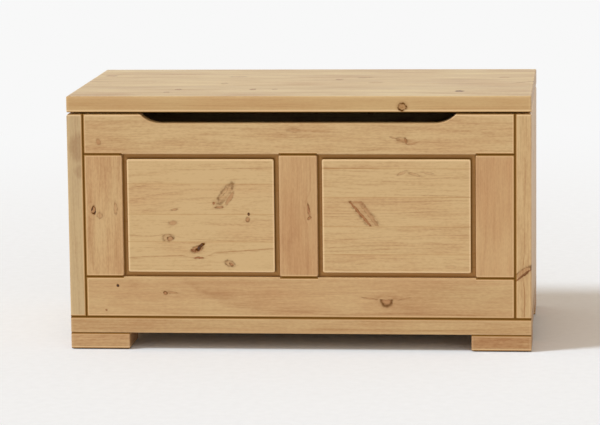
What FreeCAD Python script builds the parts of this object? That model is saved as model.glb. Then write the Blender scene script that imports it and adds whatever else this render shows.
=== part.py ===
import FreeCAD, Part
import math
import os

# Blanket chest in solid pine, in millimetres.
# Axes: +X to the right of a person who faces the front, +Y to the back, +Z up. The origin is on the floor, at
# the middle of the chest's width and of its depth over the hinge knuckles.
# Side panels and base are plain boards. Between them stands a frame-and-panel front: rails grooved from end
# to end, stiles and muntin with stub tenons in those grooves, and raised panels whose tongues ride in the
# grooves.

# ---- body ----
chest_width = 800.0
chest_depth = 450.0
side_thickness = 28.0
side_height = 355.0
base_thickness = 28.0
lid_thickness = 28.0

# ---- front frame ----
frame_thickness = 24.0
top_rail_height = 70.0
bottom_rail_height = 71.0
stile_width = 67.0
muntin_width = 66.0
front_lip = 7.0              # wood in front of the groove, and so the channel's depth
groove_width = 8.2
groove_depth = 9.0
tenon_length = 8.5
tongue_width = 8.0           # thickness of stub tenons and panel tongues
panel_insert = 7.5           # how far a panel's tongue reaches into a groove
channel_width = 8.5          # between a raised field and the frame

# ---- hand cut-out in the top rail ----
handhold_width = 552.0
handhold_depth = 16.5
handhold_sweep_radius = 50.0
handhold_corner_radius = 8.0

# ---- back frame ----
back_frame_thickness = 24.0
back_top_rail_height = 70.0
back_bottom_rail_height = 50.0
back_board_count = 8
back_board_thickness = 12.5
back_board_insert = 8.0      # reach of a board's ends and outer edges into the grooves round it
back_groove_play = 0.3
back_groove_end_play = 1.0
back_seam = 0.4              # play between two boards
back_tongue_thickness = 4.0
back_tongue_length = 6.0
back_tongue_play = 0.25
back_bevel = 2.0

# ---- feet ----
foot_width = 103.0
foot_depth = 99.0
foot_height = 28.0
glide_width = 30.0
glide_thickness = 1.5

# ---- edges ----
board_bevel = 1.5            # eased edges of base, sides and feet
lid_bevel = 2.0
side_top_round = 4.5         # outer top edge of a side panel
frame_bevel = 1.2            # eased edges that make the shadow line at each joint of the frame
field_corner_round = 2.5
field_bevel = 1.5

# ---- dowels and wood screws, drawn with flat sides to keep the many small solids light ----
fastener_sides = 8
dowel_radius = 4.0
dowel_play = 0.05
dowel_end_play = 1.0
rail_dowel_length = 34.0
rail_dowel_from_edge = 14.0
rail_dowel_from_groove = 18.0
side_dowel_depth = 16.0      # of a rail dowel's length, how much is in the side panel
base_dowel_length = 36.0
base_dowel_depth = 16.0      # of a base dowel's length, how much is in the base
base_dowel_count = 3
base_dowel_from_end = 50.0
rail_base_dowel_from_side = 192.0
screw_play = 0.05
foot_screw = {"head": 4.3, "sink": 3.0, "shank": 2.2, "tip": 1.2, "length": 44.0}
batten_screw = {"head": 3.9, "sink": 2.6, "shank": 2.0, "tip": 1.1, "length": 34.0}
hinge_screw = {"head": 3.1, "sink": 2.0, "shank": 1.6, "tip": 0.9, "length": 16.0}
stay_screw = {"head": 3.1, "sink": 2.0, "shank": 1.6, "tip": 0.9, "length": 15.0}
foot_screw_inset = 22.0

# ---- hinges ----
hinge_from_side = 122.0      # from a side panel's inner face to the middle of a hinge
hinge_length = 60.0
knuckle_count = 3
knuckle_play = 0.15
leaf_thickness = 1.2
leaf_gap = 0.1               # between the two leaves of a closed hinge
leaf_reach = 21.5            # of a leaf onto the wood
pin_radius = 2.0
pin_play = 0.04
pin_overhang = 0.8
knuckle_wall = 1.2
knuckle_clearance = 0.3
hinge_stand_off = 0.4        # between the knuckles and the wood
hinge_screw_from_edge = 12.5
hinge_screw_pitch = 36.0

# ---- lid ----
lid_opening_deg = 95.0
batten_width = 48.0
batten_thickness = 18.0
batten_from_side = 28.0
batten_front_gap = 22.0
batten_rear_gap = 16.0
batten_bevel = 3.0
batten_screw_count = 3
batten_screw_end = 40.0
bumper_width = 12.0
bumper_play = 0.1
bumper_from_front = 40.0

# ---- lid stays ----
# The lid pivot and the brake pin are both stay_radius away from the hinge axis, so that a bar turns half as
# far as the lid.
stay_radius = 120.0
stay_pivot_drop = 12.0       # of the lid pivot below the hinge axis, lid closed
stay_spread_deg = 25.0       # between lid pivot and brake pin, seen from the hinge axis, lid closed
bar_thickness = 2.0
bar_width = 14.0
bar_play = 0.3               # beside the bar, each face
slot_play = 0.1
slot_end_play = 0.3
slot_start_play = 4.0
rivet_radius = 2.5
rivet_play = 0.05
rivet_head_radius = 4.6
rivet_head_height = 1.2
brake_pin_radius = 3.0
brake_pin_play = 0.05
brake_nut_across_flats = 10.0
brake_nut_height = 5.0
plate_thickness = 2.0
plate_width = 18.0
plate_length = 56.0
plate_screw_pitch = 38.0
plate_bevel = 4.0
ear_thickness = 2.0
ear_width = 18.0
flange_thickness = 2.0
flange_width = 20.0
flange_length = 44.0
flange_screw_pitch = 28.0
flange_bevel = 5.0

# ---- places that follow from the sizes above ----
half_width = chest_width / 2
inner_half_width = half_width - side_thickness
knuckle_radius = pin_radius + pin_play + knuckle_wall
axis_from_back = knuckle_radius + hinge_stand_off
overall_depth = chest_depth + axis_from_back + knuckle_radius
front_y = -overall_depth / 2
back_y = front_y + chest_depth
front_frame_y = (front_y, front_y + frame_thickness)
back_frame_y = (back_y - back_frame_thickness, back_y)

foot_z = (glide_thickness, glide_thickness + foot_height)
base_z = (foot_z[1], foot_z[1] + base_thickness)
side_z = (base_z[1], base_z[1] + side_height)
bottom_rail_z = (side_z[0], side_z[0] + bottom_rail_height)
top_rail_z = (side_z[1] - top_rail_height, side_z[1])
opening_z = (bottom_rail_z[1], top_rail_z[0])
back_bottom_rail_z = (side_z[0], side_z[0] + back_bottom_rail_height)
back_top_rail_z = (side_z[1] - back_top_rail_height, side_z[1])
lid_gap = 2 * leaf_thickness + leaf_gap
lid_z = (side_z[1] + lid_gap, side_z[1] + lid_gap + lid_thickness)

hinge_axis = (back_y + axis_from_back, side_z[1] + lid_gap / 2)
hinge_x = inner_half_width - hinge_from_side


def vector(x, y, z):
    return FreeCAD.Vector(x, y, z)


def block(x_span, y_span, z_span):
    corner = vector(x_span[0], y_span[0], z_span[0])
    return Part.makeBox(x_span[1] - x_span[0], y_span[1] - y_span[0], z_span[1] - z_span[0], corner)


def joined(first, *others):
    return first.fuse(list(others)).removeSplitter()


def save(name, shape):
    shape.exportStep("parts/" + name + ".step")


def save_group(name, solids):
    save(name, Part.makeCompound(solids))


def mirrored(shape):
    return shape.mirror(vector(0, 0, 0), vector(1, 0, 0))


def lies_at(edge, axis, value):
    points = [vertex.Point for vertex in edge.Vertexes]
    points.append(edge.valueAt((edge.FirstParameter + edge.LastParameter) / 2))
    return all(abs(getattr(point, axis) - value) < 1e-4 for point in points)


def eased(solid, bevel, *planes):
    """Bevels every edge that lies in one of the planes, each given as an axis and a value."""
    edges = [edge for edge in solid.Edges if any(lies_at(edge, axis, value) for axis, value in planes)]
    return solid.makeChamfer(bevel, edges)


def spread(count, low, high):
    """Evenly spaced places from low to high."""
    return [low + (high - low) * i / (count - 1) for i in range(count)]


# ---- fasteners ----
def faceted(profile, start, direction):
    """A solid with flat sides from (radius, distance) points, laid along a direction from its start."""
    turns = [2 * math.pi * i / fastener_sides for i in range(fastener_sides)]
    rings = [
        [vector(radius * math.cos(turn), radius * math.sin(turn), distance) for turn in turns]
        for radius, distance in profile
    ]
    outlines = [rings[0], rings[-1]]
    for low, high in zip(rings, rings[1:]):
        for i in range(fastener_sides):
            after = (i + 1) % fastener_sides
            outlines.append([low[i], low[after], high[after], high[i]])
    faces = [Part.Face(Part.makePolygon(outline + outline[:1])) for outline in outlines]
    solid = Part.Solid(Part.Shell(faces))
    if solid.Volume < 0:
        solid.reverse()
    solid.Placement = FreeCAD.Placement(start, FreeCAD.Rotation(vector(0, 0, 1), direction))
    return solid


def dowel(start, direction, length, play=0.0, end_play=0.0):
    radius = dowel_radius + play
    return faceted([(radius, -end_play), (radius, length + end_play)], start, direction)


def screw(size, start, direction, play=0.0):
    """A countersunk screw, its head's flat face at start. With play it is the hole that takes the screw."""
    profile = [
        (size["head"] + play, 0),
        (size["shank"] + play, size["sink"]),
        (size["tip"] + play, size["length"] + play),
    ]
    return faceted(profile, start, direction)


class Fasteners:
    """One kind of dowel or screw: the solids, and the holes to cut for them."""

    def __init__(self):
        self.solids = []
        self.holes = []

    def add_dowel(self, start, direction, length):
        self.solids.append(dowel(start, direction, length))
        self.holes.append(dowel(start, direction, length, dowel_play, dowel_end_play))

    def add_screw(self, size, start, direction):
        self.solids.append(screw(size, start, direction))
        self.holes.append(screw(size, start, direction, screw_play))


up = vector(0, 0, 1)
down = vector(0, 0, -1)


def rail_dowels(plain_z, grooved_z, frame_y):
    """Two dowels at each end of a rail, one near its plain edge and one near its groove."""
    dowels = Fasteners()
    inward = math.copysign(1, grooved_z - plain_z)
    for side in (-1, 1):
        for z in (plain_z + inward * rail_dowel_from_edge, grooved_z - inward * rail_dowel_from_groove):
            start = vector(side * (inner_half_width + side_dowel_depth), sum(frame_y) / 2, z)
            dowels.add_dowel(start, vector(-side, 0, 0), rail_dowel_length)
    return dowels


def base_dowels():
    """Upright dowels from the base into the side panels and the bottom rails."""
    dowels = Fasteners()
    start_z = base_z[1] - base_dowel_depth
    for side in (-1, 1):
        for y in spread(base_dowel_count, front_y + base_dowel_from_end, back_y - base_dowel_from_end):
            start = vector(side * (half_width - side_thickness / 2), y, start_z)
            dowels.add_dowel(start, up, base_dowel_length)
    rail_x = inner_half_width - rail_base_dowel_from_side
    for frame_y in (front_frame_y, back_frame_y):
        for x in (-rail_x, rail_x):
            dowels.add_dowel(vector(x, sum(frame_y) / 2, start_z), up, base_dowel_length)
    return dowels


def foot_spans():
    """Each foot's name and its X and Y spans, flush with the corners of the base."""
    spans = {}
    for side_name, side in (("left", -1), ("right", 1)):
        outer = side * half_width
        x_span = tuple(sorted((outer, outer - side * foot_width)))
        spans["foot_front_" + side_name] = (x_span, (front_y, front_y + foot_depth))
        spans["foot_rear_" + side_name] = (x_span, (back_y - foot_depth, back_y))
    return spans


def foot_screws():
    screws = Fasteners()
    for x_span, y_span in foot_spans().values():
        for x, y in (
            (x_span[0] + foot_screw_inset, y_span[0] + foot_screw_inset),
            (x_span[1] - foot_screw_inset, y_span[1] - foot_screw_inset),
        ):
            screws.add_screw(foot_screw, vector(x, y, foot_z[0]), up)
    return screws


# ---- front frame ----
def tangent_arc(centre, radius, start_deg, end_deg):
    points = []
    for angle in (start_deg, (start_deg + end_deg) / 2, end_deg):
        turn = math.radians(angle)
        points.append(centre + vector(radius * math.cos(turn), 0, radius * math.sin(turn)))
    return Part.Arc(*points).toShape()


def top_rail_outline():
    """The front outline: at each end of the hand cut-out a convex corner runs into a wide concave sweep."""
    sweep = handhold_sweep_radius
    corner = handhold_corner_radius
    slope = math.degrees(math.acos(1 - handhold_depth / (sweep + corner)))
    run = (sweep + corner) * math.sin(math.radians(slope))
    end_x = handhold_width / 2
    flat_x = end_x - run
    floor_z = top_rail_z[1] - handhold_depth
    y = front_frame_y[0]
    right = [
        tangent_arc(vector(flat_x, y, floor_z + sweep), sweep, -90, -90 + slope),
        tangent_arc(vector(end_x, y, top_rail_z[1] - corner), corner, 90 + slope, 90),
    ]
    left = [edge.mirror(vector(0, 0, 0), vector(1, 0, 0)) for edge in right]
    corners = [
        vector(end_x, y, top_rail_z[1]),
        vector(inner_half_width, y, top_rail_z[1]),
        vector(inner_half_width, y, top_rail_z[0]),
        vector(-inner_half_width, y, top_rail_z[0]),
        vector(-inner_half_width, y, top_rail_z[1]),
        vector(-end_x, y, top_rail_z[1]),
    ]
    flat = Part.makeLine(vector(-flat_x, y, floor_z), vector(flat_x, y, floor_z))
    sides = [Part.makeLine(a, b) for a, b in zip(corners, corners[1:])]
    return Part.Wire(Part.__sortEdges__([flat, *right, *sides, *left]))


groove_y = (
    front_y + front_lip - (groove_width - tongue_width) / 2,
    front_y + front_lip + (groove_width + tongue_width) / 2,
)
tongue_y = (front_y + front_lip, front_y + front_lip + tongue_width)


def front_top_rail(holes):
    body = Part.Face(top_rail_outline()).extrude(vector(0, frame_thickness, 0))
    body = eased(body, frame_bevel, ("y", front_frame_y[0]), ("y", front_frame_y[1]))
    x_span = (-inner_half_width, inner_half_width)
    groove = block(x_span, groove_y, (top_rail_z[0], top_rail_z[0] + groove_depth))
    return body.cut([groove, *holes])


def front_bottom_rail(holes):
    x_span = (-inner_half_width, inner_half_width)
    faces = [("y", y) for y in front_frame_y]
    body = eased(block(x_span, front_frame_y, bottom_rail_z), frame_bevel, *faces)
    groove = block(x_span, groove_y, (bottom_rail_z[1] - groove_depth, bottom_rail_z[1]))
    return body.cut([groove, *holes])


def upright(x_span, grooved_left, grooved_right):
    """A stile or the muntin: stub tenons above and below, grooves on the edges that meet a panel."""
    tall = (opening_z[0] - tenon_length, opening_z[1] + tenon_length)
    faces = [("y", y) for y in front_frame_y]
    body = eased(block(x_span, front_frame_y, opening_z), frame_bevel, *faces)
    body = joined(body, block(x_span, tongue_y, tall))
    grooves = []
    if grooved_left:
        grooves.append(block((x_span[0], x_span[0] + groove_depth), groove_y, tall))
    if grooved_right:
        grooves.append(block((x_span[1] - groove_depth, x_span[1]), groove_y, tall))
    return body.cut(grooves)


def front_panel(opening_x):
    """A raised panel: its field is flush with the frame, its tongue rides in the grooves all round."""
    field_x = (opening_x[0] + channel_width, opening_x[1] - channel_width)
    field_z = (opening_z[0] + channel_width, opening_z[1] - channel_width)
    sheet_x = (opening_x[0] - panel_insert, opening_x[1] + panel_insert)
    sheet_z = (opening_z[0] - panel_insert, opening_z[1] + panel_insert)
    raised = block(field_x, (front_y, tongue_y[1]), field_z)
    uprights = [
        edge
        for edge in raised.Edges
        if any(lies_at(edge, "x", x) for x in field_x) and any(lies_at(edge, "z", z) for z in field_z)
    ]
    raised = eased(raised.makeFillet(field_corner_round, uprights), field_bevel, ("y", front_y))
    return joined(block(sheet_x, tongue_y, sheet_z), raised)


# ---- back frame ----
back_groove_y = (
    sum(back_frame_y) / 2 - (back_board_thickness + back_groove_play) / 2,
    sum(back_frame_y) / 2 + (back_board_thickness + back_groove_play) / 2,
)
back_board_y = (
    sum(back_frame_y) / 2 - back_board_thickness / 2,
    sum(back_frame_y) / 2 + back_board_thickness / 2,
)
back_groove_depth = back_board_insert + back_groove_end_play
back_board_z = (back_bottom_rail_z[1] - back_board_insert, back_top_rail_z[0] + back_board_insert)


def back_rail(z_span, groove_z, holes):
    x_span = (-inner_half_width, inner_half_width)
    faces = [("y", y) for y in back_frame_y]
    body = eased(block(x_span, back_frame_y, z_span), frame_bevel, *faces)
    return body.cut([block(x_span, back_groove_y, groove_z), *holes])


def back_board(index):
    """One tongue-and-groove board. The first and the last reach into the side panels' grooves."""
    pitch = 2 * inner_half_width / back_board_count
    first = index == 0
    last = index == back_board_count - 1
    left = -inner_half_width + pitch * index + (0 if first else back_seam / 2)
    right = -inner_half_width + pitch * (index + 1) - (0 if last else back_seam / 2)
    middle_y = sum(back_board_y) / 2
    body = block((left, right), back_board_y, back_board_z)
    seams = []
    if not first:
        seams.append(left)
    if not last:
        seams.append(right)
    bevels = [
        edge
        for edge in body.Edges
        if any(lies_at(edge, "x", x) for x in seams) and any(lies_at(edge, "y", y) for y in back_board_y)
    ]
    body = body.makeChamfer(back_bevel, bevels)
    if first:
        body = joined(body, block((left - back_board_insert, left), back_board_y, back_board_z))
    else:
        half = back_tongue_thickness / 2 + back_tongue_play
        depth = back_tongue_length + back_tongue_play
        body = body.cut(block((left, left + depth), (middle_y - half, middle_y + half), back_board_z))
    if last:
        return joined(body, block((right, right + back_board_insert), back_board_y, back_board_z))
    half = back_tongue_thickness / 2
    reach = back_seam + back_tongue_length
    return joined(body, block((right, right + reach), (middle_y - half, middle_y + half), back_board_z))


# ---- side panels, base, feet ----
def side_panel_right(holes):
    """The board's outer top edge has the widest round; the groove takes the edge of the last back board."""
    x_span = (inner_half_width, half_width)
    body = block(x_span, (front_y, back_y), side_z)
    top_outer = [
        edge for edge in body.Edges if lies_at(edge, "x", half_width) and lies_at(edge, "z", side_z[1])
    ]
    body = body.makeFillet(side_top_round, top_outer)
    body = eased(body, board_bevel, ("y", front_y), ("y", back_y))
    groove_x = (inner_half_width, inner_half_width + back_groove_depth)
    groove_z = (back_board_z[0] - back_groove_play, back_board_z[1] + back_groove_play)
    return body.cut([block(groove_x, back_groove_y, groove_z), *holes])


def base_board(holes):
    body = block((-half_width, half_width), (front_y, back_y), base_z)
    return body.makeChamfer(board_bevel, body.Edges).cut(holes)


def foot(x_span, y_span, holes):
    body = block(x_span, y_span, foot_z)
    return body.makeChamfer(board_bevel, body.Edges).cut(holes)


# ---- hinges ----
def hinge_cylinder(radius, x_span):
    start = vector(x_span[0], hinge_axis[0], hinge_axis[1])
    return Part.makeCylinder(radius, x_span[1] - x_span[0], start, vector(1, 0, 0))


def hinge_leaf(middle_x, first_knuckle, leaf_z, holes):
    """A leaf with every second knuckle, cut back where the other leaf's knuckles turn."""
    start_x = middle_x - hinge_length / 2
    pitch = hinge_length / knuckle_count
    plate_x = (start_x, start_x + hinge_length)
    plate = block(plate_x, (back_y - leaf_reach, hinge_axis[0]), leaf_z)
    own = []
    reliefs = []
    for i in range(knuckle_count):
        x_span = (start_x + i * pitch, start_x + (i + 1) * pitch)
        if i % 2 == first_knuckle:
            low = x_span[0] + (knuckle_play if i else 0)
            high = x_span[1] - (knuckle_play if i < knuckle_count - 1 else 0)
            own.append(hinge_cylinder(knuckle_radius, (low, high)))
        else:
            relief_y = (hinge_axis[0] - knuckle_radius - knuckle_clearance, hinge_axis[0])
            reliefs.append(block(x_span, relief_y, leaf_z))
    bore = hinge_cylinder(pin_radius + pin_play, plate_x)
    leaf = joined(plate.cut(reliefs), *own)
    return leaf.cut([bore, *holes])


def hinge_pin(middle_x):
    half = hinge_length / 2 + pin_overhang
    return hinge_cylinder(pin_radius, (middle_x - half, middle_x + half))


def hinge_screws(middle_x, face_z, direction):
    screws = Fasteners()
    for x in (-hinge_screw_pitch / 2, hinge_screw_pitch / 2):
        screws.add_screw(hinge_screw, vector(middle_x + x, back_y - hinge_screw_from_edge, face_z), direction)
    return screws


# ---- lid ----
batten_x = (inner_half_width - batten_from_side - batten_width, inner_half_width - batten_from_side)
batten_y = (front_frame_y[1] + batten_front_gap, back_frame_y[0] - batten_rear_gap)
batten_z = (lid_z[0] - batten_thickness, lid_z[0])


def lid_panel(holes):
    body = block((-half_width, half_width), (front_y, back_y), lid_z)
    return body.makeChamfer(lid_bevel, body.Edges).cut(holes)


def batten_right(holes):
    body = block(batten_x, batten_y, batten_z)
    lower = [edge for edge in body.Edges if lies_at(edge, "z", batten_z[0])]
    return body.makeChamfer(batten_bevel, lower).cut(holes)


def batten_screws():
    screws = Fasteners()
    for side in (-1, 1):
        for y in spread(batten_screw_count, batten_y[0] + batten_screw_end, batten_y[1] - batten_screw_end):
            screws.add_screw(batten_screw, vector(side * sum(batten_x) / 2, y, batten_z[0]), up)
    return screws


def square_pad(centre, width, z_span):
    spans = [(middle - width / 2, middle + width / 2) for middle in centre]
    return block(spans[0], spans[1], z_span)


def bumpers():
    """Felt squares on the front ends of the side panels, under the closed lid."""
    z_span = (side_z[1], lid_z[0] - bumper_play)
    x = half_width - side_thickness / 2
    return [square_pad((side * x, front_y + bumper_from_front), bumper_width, z_span) for side in (-1, 1)]


def glides():
    """Felt squares, one in the middle of each foot."""
    centres = [(sum(x_span) / 2, sum(y_span) / 2) for x_span, y_span in foot_spans().values()]
    return [square_pad(centre, glide_width, (0, glide_thickness)) for centre in centres]


# ---- lid stays, drawn for the right side and mirrored to the left ----
def on_stay_circle(below_deg):
    """The Y and Z of a point at stay_radius from the hinge axis, so many degrees below the horizontal."""
    turn = math.radians(below_deg)
    return (hinge_axis[0] - stay_radius * math.cos(turn), hinge_axis[1] - stay_radius * math.sin(turn))


pivot_below_deg = math.degrees(math.asin(stay_pivot_drop / stay_radius))
lid_pivot = on_stay_circle(pivot_below_deg)
brake_point = on_stay_circle(pivot_below_deg + stay_spread_deg)
closed_span = 2 * stay_radius * math.sin(math.radians(stay_spread_deg / 2))
open_span = 2 * stay_radius * math.sin(math.radians((stay_spread_deg + lid_opening_deg) / 2))

plate_face_x = inner_half_width - plate_thickness
bar_x = (plate_face_x - bar_play - bar_thickness, plate_face_x - bar_play)
ear_x = (bar_x[0] - bar_play - ear_thickness, bar_x[0] - bar_play)
flange_x = (ear_x[1] - flange_width, ear_x[1])


def along_x(radius, x_span, point):
    start = vector(x_span[0], point[0], point[1])
    return Part.makeCylinder(radius, x_span[1] - x_span[0], start, vector(1, 0, 0))


def bar_blank(width, start, end, x_span):
    """A strip with round ends, laid along the closed pose's line from lid pivot to brake pin."""
    run = (brake_point[0] - lid_pivot[0], brake_point[1] - lid_pivot[1])
    unit = (run[0] / closed_span, run[1] / closed_span)
    across = (-unit[1], unit[0])
    half = width / 2

    def at(distance, offset):
        return vector(
            x_span[0],
            lid_pivot[0] + unit[0] * distance + across[0] * offset,
            lid_pivot[1] + unit[1] * distance + across[1] * offset,
        )

    edges = [
        Part.makeLine(at(start, -half), at(end, -half)),
        Part.Arc(at(end, -half), at(end + half, 0), at(end, half)).toShape(),
        Part.makeLine(at(end, half), at(start, half)),
        Part.Arc(at(start, half), at(start - half, 0), at(start, -half)).toShape(),
    ]
    return Part.Face(Part.Wire(edges)).extrude(vector(x_span[1] - x_span[0], 0, 0))


def stay_bar():
    slot_half = brake_pin_radius + slot_play
    bar = bar_blank(bar_width, 0, open_span + slot_end_play, bar_x)
    slot_end = open_span + slot_end_play - slot_play
    slot = bar_blank(2 * slot_half, closed_span - slot_start_play, slot_end, bar_x)
    return bar.cut([slot, along_x(rivet_radius + rivet_play, bar_x, lid_pivot)])


def stay_rivet():
    """The head keeps the bar on; the shank is peened flush with the ear's inner face."""
    head_x = (bar_x[1] + bar_play / 2, bar_x[1] + bar_play / 2 + rivet_head_height)
    head = along_x(rivet_head_radius, head_x, lid_pivot)
    return joined(along_x(rivet_radius, (ear_x[0], head_x[0]), lid_pivot), head)


def stay_bracket(holes):
    """A flange under the lid and an ear that hangs from it, rounded about the rivet."""
    half = ear_width / 2
    flange_z = (lid_z[0] - flange_thickness, lid_z[0])
    flange = block(flange_x, (lid_pivot[0] - flange_length / 2, lid_pivot[0] + flange_length / 2), flange_z)
    outer = [
        edge
        for edge in flange.Edges
        if lies_at(edge, "x", flange_x[0])
        and any(lies_at(edge, "y", lid_pivot[0] + s * flange_length / 2) for s in (-1, 1))
    ]
    flange = flange.makeChamfer(flange_bevel, outer)
    ear = block(ear_x, (lid_pivot[0] - half, lid_pivot[0] + half), (lid_pivot[1], lid_z[0]))
    bracket = joined(flange, ear, along_x(half, ear_x, lid_pivot))
    return bracket.cut([along_x(rivet_radius + rivet_play, ear_x, lid_pivot), *holes])


def stay_plate(holes):
    """A strip on the side panel, with bevelled corners and a hole for the brake pin."""
    x_span = (plate_face_x, inner_half_width)
    y_span = (brake_point[0] - plate_width / 2, brake_point[0] + plate_width / 2)
    z_span = (brake_point[1] - plate_length / 2, brake_point[1] + plate_length / 2)
    strip = block(x_span, y_span, z_span)
    corners = [
        edge
        for edge in strip.Edges
        if any(lies_at(edge, "y", y) for y in y_span) and any(lies_at(edge, "z", z) for z in z_span)
    ]
    strip = strip.makeChamfer(plate_bevel, corners)
    return strip.cut([along_x(brake_pin_radius + brake_pin_play, x_span, brake_point), *holes])


def brake_pin():
    """The pin that the slot runs on, with the lock nut that sets the stay's friction."""
    nut_x = (bar_x[0] - bar_play - brake_nut_height, bar_x[0] - bar_play)
    corner = brake_nut_across_flats / math.sqrt(3)
    turns = [math.radians(60 * i) for i in range(7)]
    outline = [
        vector(nut_x[0], brake_point[0] + corner * math.cos(turn), brake_point[1] + corner * math.sin(turn))
        for turn in turns
    ]
    nut = Part.Face(Part.makePolygon(outline)).extrude(vector(brake_nut_height, 0, 0))
    return joined(nut, along_x(brake_pin_radius, (nut_x[1], inner_half_width), brake_point))


def plate_screws():
    screws = Fasteners()
    for s in (-1, 1):
        start = vector(plate_face_x, brake_point[0], brake_point[1] + s * plate_screw_pitch / 2)
        screws.add_screw(stay_screw, start, vector(1, 0, 0))
    return screws


def bracket_screws():
    screws = Fasteners()
    x = (flange_x[0] + ear_x[0]) / 2
    for s in (-1, 1):
        start = vector(x, lid_pivot[0] + s * flange_screw_pitch / 2, lid_z[0] - flange_thickness)
        screws.add_screw(stay_screw, start, up)
    return screws


def both_sides(shapes):
    return shapes + [mirrored(shape) for shape in shapes]


def make_carcass():
    front_dowels = [
        rail_dowels(top_rail_z[1], top_rail_z[0], front_frame_y),
        rail_dowels(*bottom_rail_z, front_frame_y),
    ]
    back_dowels = [
        rail_dowels(back_top_rail_z[1], back_top_rail_z[0], back_frame_y),
        rail_dowels(*back_bottom_rail_z, back_frame_y),
    ]
    in_base = base_dowels()
    under_feet = foot_screws()
    on_plate = plate_screws()
    on_rail = [hinge_screws(s * hinge_x, side_z[1] + leaf_thickness, down) for s in (-1, 1)]
    rail_hinge_holes = [hole for screws in on_rail for hole in screws.holes]
    sideways_holes = [hole for dowels in front_dowels + back_dowels for hole in dowels.holes]

    side = side_panel_right(sideways_holes + in_base.holes + on_plate.holes)
    save("side_panel_right", side)
    save("side_panel_left", mirrored(side))
    save("base_board", base_board(in_base.holes + under_feet.holes))
    for name, (x_span, y_span) in foot_spans().items():
        save(name, foot(x_span, y_span, under_feet.holes))
    save_group("felt_glides", glides())

    save("front_top_rail", front_top_rail(front_dowels[0].holes))
    save("front_bottom_rail", front_bottom_rail(front_dowels[1].holes + in_base.holes))
    left_opening = (-inner_half_width + stile_width, -muntin_width / 2)
    right_opening = (muntin_width / 2, inner_half_width - stile_width)
    save("front_stile_left", upright((-inner_half_width, left_opening[0]), False, True))
    save("front_muntin", upright((left_opening[1], right_opening[0]), True, True))
    save("front_stile_right", upright((right_opening[1], inner_half_width), True, False))
    save("front_panel_left", front_panel(left_opening))
    save("front_panel_right", front_panel(right_opening))

    top_groove_z = (back_top_rail_z[0], back_top_rail_z[0] + back_groove_depth)
    bottom_groove_z = (back_bottom_rail_z[1] - back_groove_depth, back_bottom_rail_z[1])
    save("back_top_rail", back_rail(back_top_rail_z, top_groove_z, back_dowels[0].holes + rail_hinge_holes))
    bottom_holes = back_dowels[1].holes + in_base.holes
    save("back_bottom_rail", back_rail(back_bottom_rail_z, bottom_groove_z, bottom_holes))
    for i in range(back_board_count):
        save("back_board_" + str(i + 1), back_board(i))

    save_group("front_rail_dowels", front_dowels[0].solids + front_dowels[1].solids)
    save_group("back_rail_dowels", back_dowels[0].solids + back_dowels[1].solids)
    save_group("base_dowels", in_base.solids)
    save_group("foot_screws", under_feet.solids)

    leaf_z = (side_z[1], side_z[1] + leaf_thickness)
    for name, s, screws in (("left", -1, on_rail[0]), ("right", 1, on_rail[1])):
        save("hinge_leaf_back_" + name, hinge_leaf(s * hinge_x, 0, leaf_z, screws.holes))
        save("hinge_pin_" + name, hinge_pin(s * hinge_x))
    save_group("hinge_screws_back", on_rail[0].solids + on_rail[1].solids)

    for name, shape in (("stay_plate", stay_plate(on_plate.holes)), ("brake_pin", brake_pin())):
        save(name + "_right", shape)
        save(name + "_left", mirrored(shape))
    save_group("stay_plate_screws", both_sides(on_plate.solids))
    save_group("lid_bumpers", bumpers())


def make_lid():
    on_lid = [hinge_screws(s * hinge_x, lid_z[0] - leaf_thickness, up) for s in (-1, 1)]
    in_battens = batten_screws()
    on_bracket = bracket_screws()
    bracket_holes = both_sides(on_bracket.holes)
    hinge_holes = [hole for screws in on_lid for hole in screws.holes]
    save("lid_panel", lid_panel(hinge_holes + in_battens.holes + bracket_holes))
    batten = batten_right(in_battens.holes)
    save("lid_batten_right", batten)
    save("lid_batten_left", mirrored(batten))
    save_group("batten_screws", in_battens.solids)

    leaf_z = (lid_z[0] - leaf_thickness, lid_z[0])
    for name, s, screws in (("left", -1, on_lid[0]), ("right", 1, on_lid[1])):
        save("hinge_leaf_lid_" + name, hinge_leaf(s * hinge_x, 1, leaf_z, screws.holes))
    save_group("hinge_screws_lid", on_lid[0].solids + on_lid[1].solids)

    for name, shape in (("stay_bracket", stay_bracket(on_bracket.holes)), ("stay_rivet", stay_rivet())):
        save(name + "_right", shape)
        save(name + "_left", mirrored(shape))
    save_group("stay_bracket_screws", both_sides(on_bracket.solids))


def make_stay_bars():
    bar = stay_bar()
    save("stay_bar_right", bar)
    save("stay_bar_left", mirrored(bar))


os.makedirs("parts", exist_ok=True)
make_carcass()
make_lid()
make_stay_bars()
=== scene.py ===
import math

import bmesh
import bpy
from mathutils import Matrix, Vector


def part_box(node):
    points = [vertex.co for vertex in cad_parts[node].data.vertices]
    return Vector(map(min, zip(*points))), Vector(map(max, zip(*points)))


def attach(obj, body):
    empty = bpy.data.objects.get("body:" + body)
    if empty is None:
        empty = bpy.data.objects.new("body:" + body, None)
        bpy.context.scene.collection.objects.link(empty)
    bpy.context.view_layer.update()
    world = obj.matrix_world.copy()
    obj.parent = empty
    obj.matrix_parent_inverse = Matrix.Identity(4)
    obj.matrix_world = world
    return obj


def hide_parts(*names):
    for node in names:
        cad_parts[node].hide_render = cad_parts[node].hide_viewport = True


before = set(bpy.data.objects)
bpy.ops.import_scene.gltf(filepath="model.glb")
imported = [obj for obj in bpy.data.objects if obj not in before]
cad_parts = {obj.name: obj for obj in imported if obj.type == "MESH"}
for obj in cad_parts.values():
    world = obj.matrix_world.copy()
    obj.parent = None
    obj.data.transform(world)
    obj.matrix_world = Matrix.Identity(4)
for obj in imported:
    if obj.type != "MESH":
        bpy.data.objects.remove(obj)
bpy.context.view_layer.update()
mm = 0.001
print("frame loaded")


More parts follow.
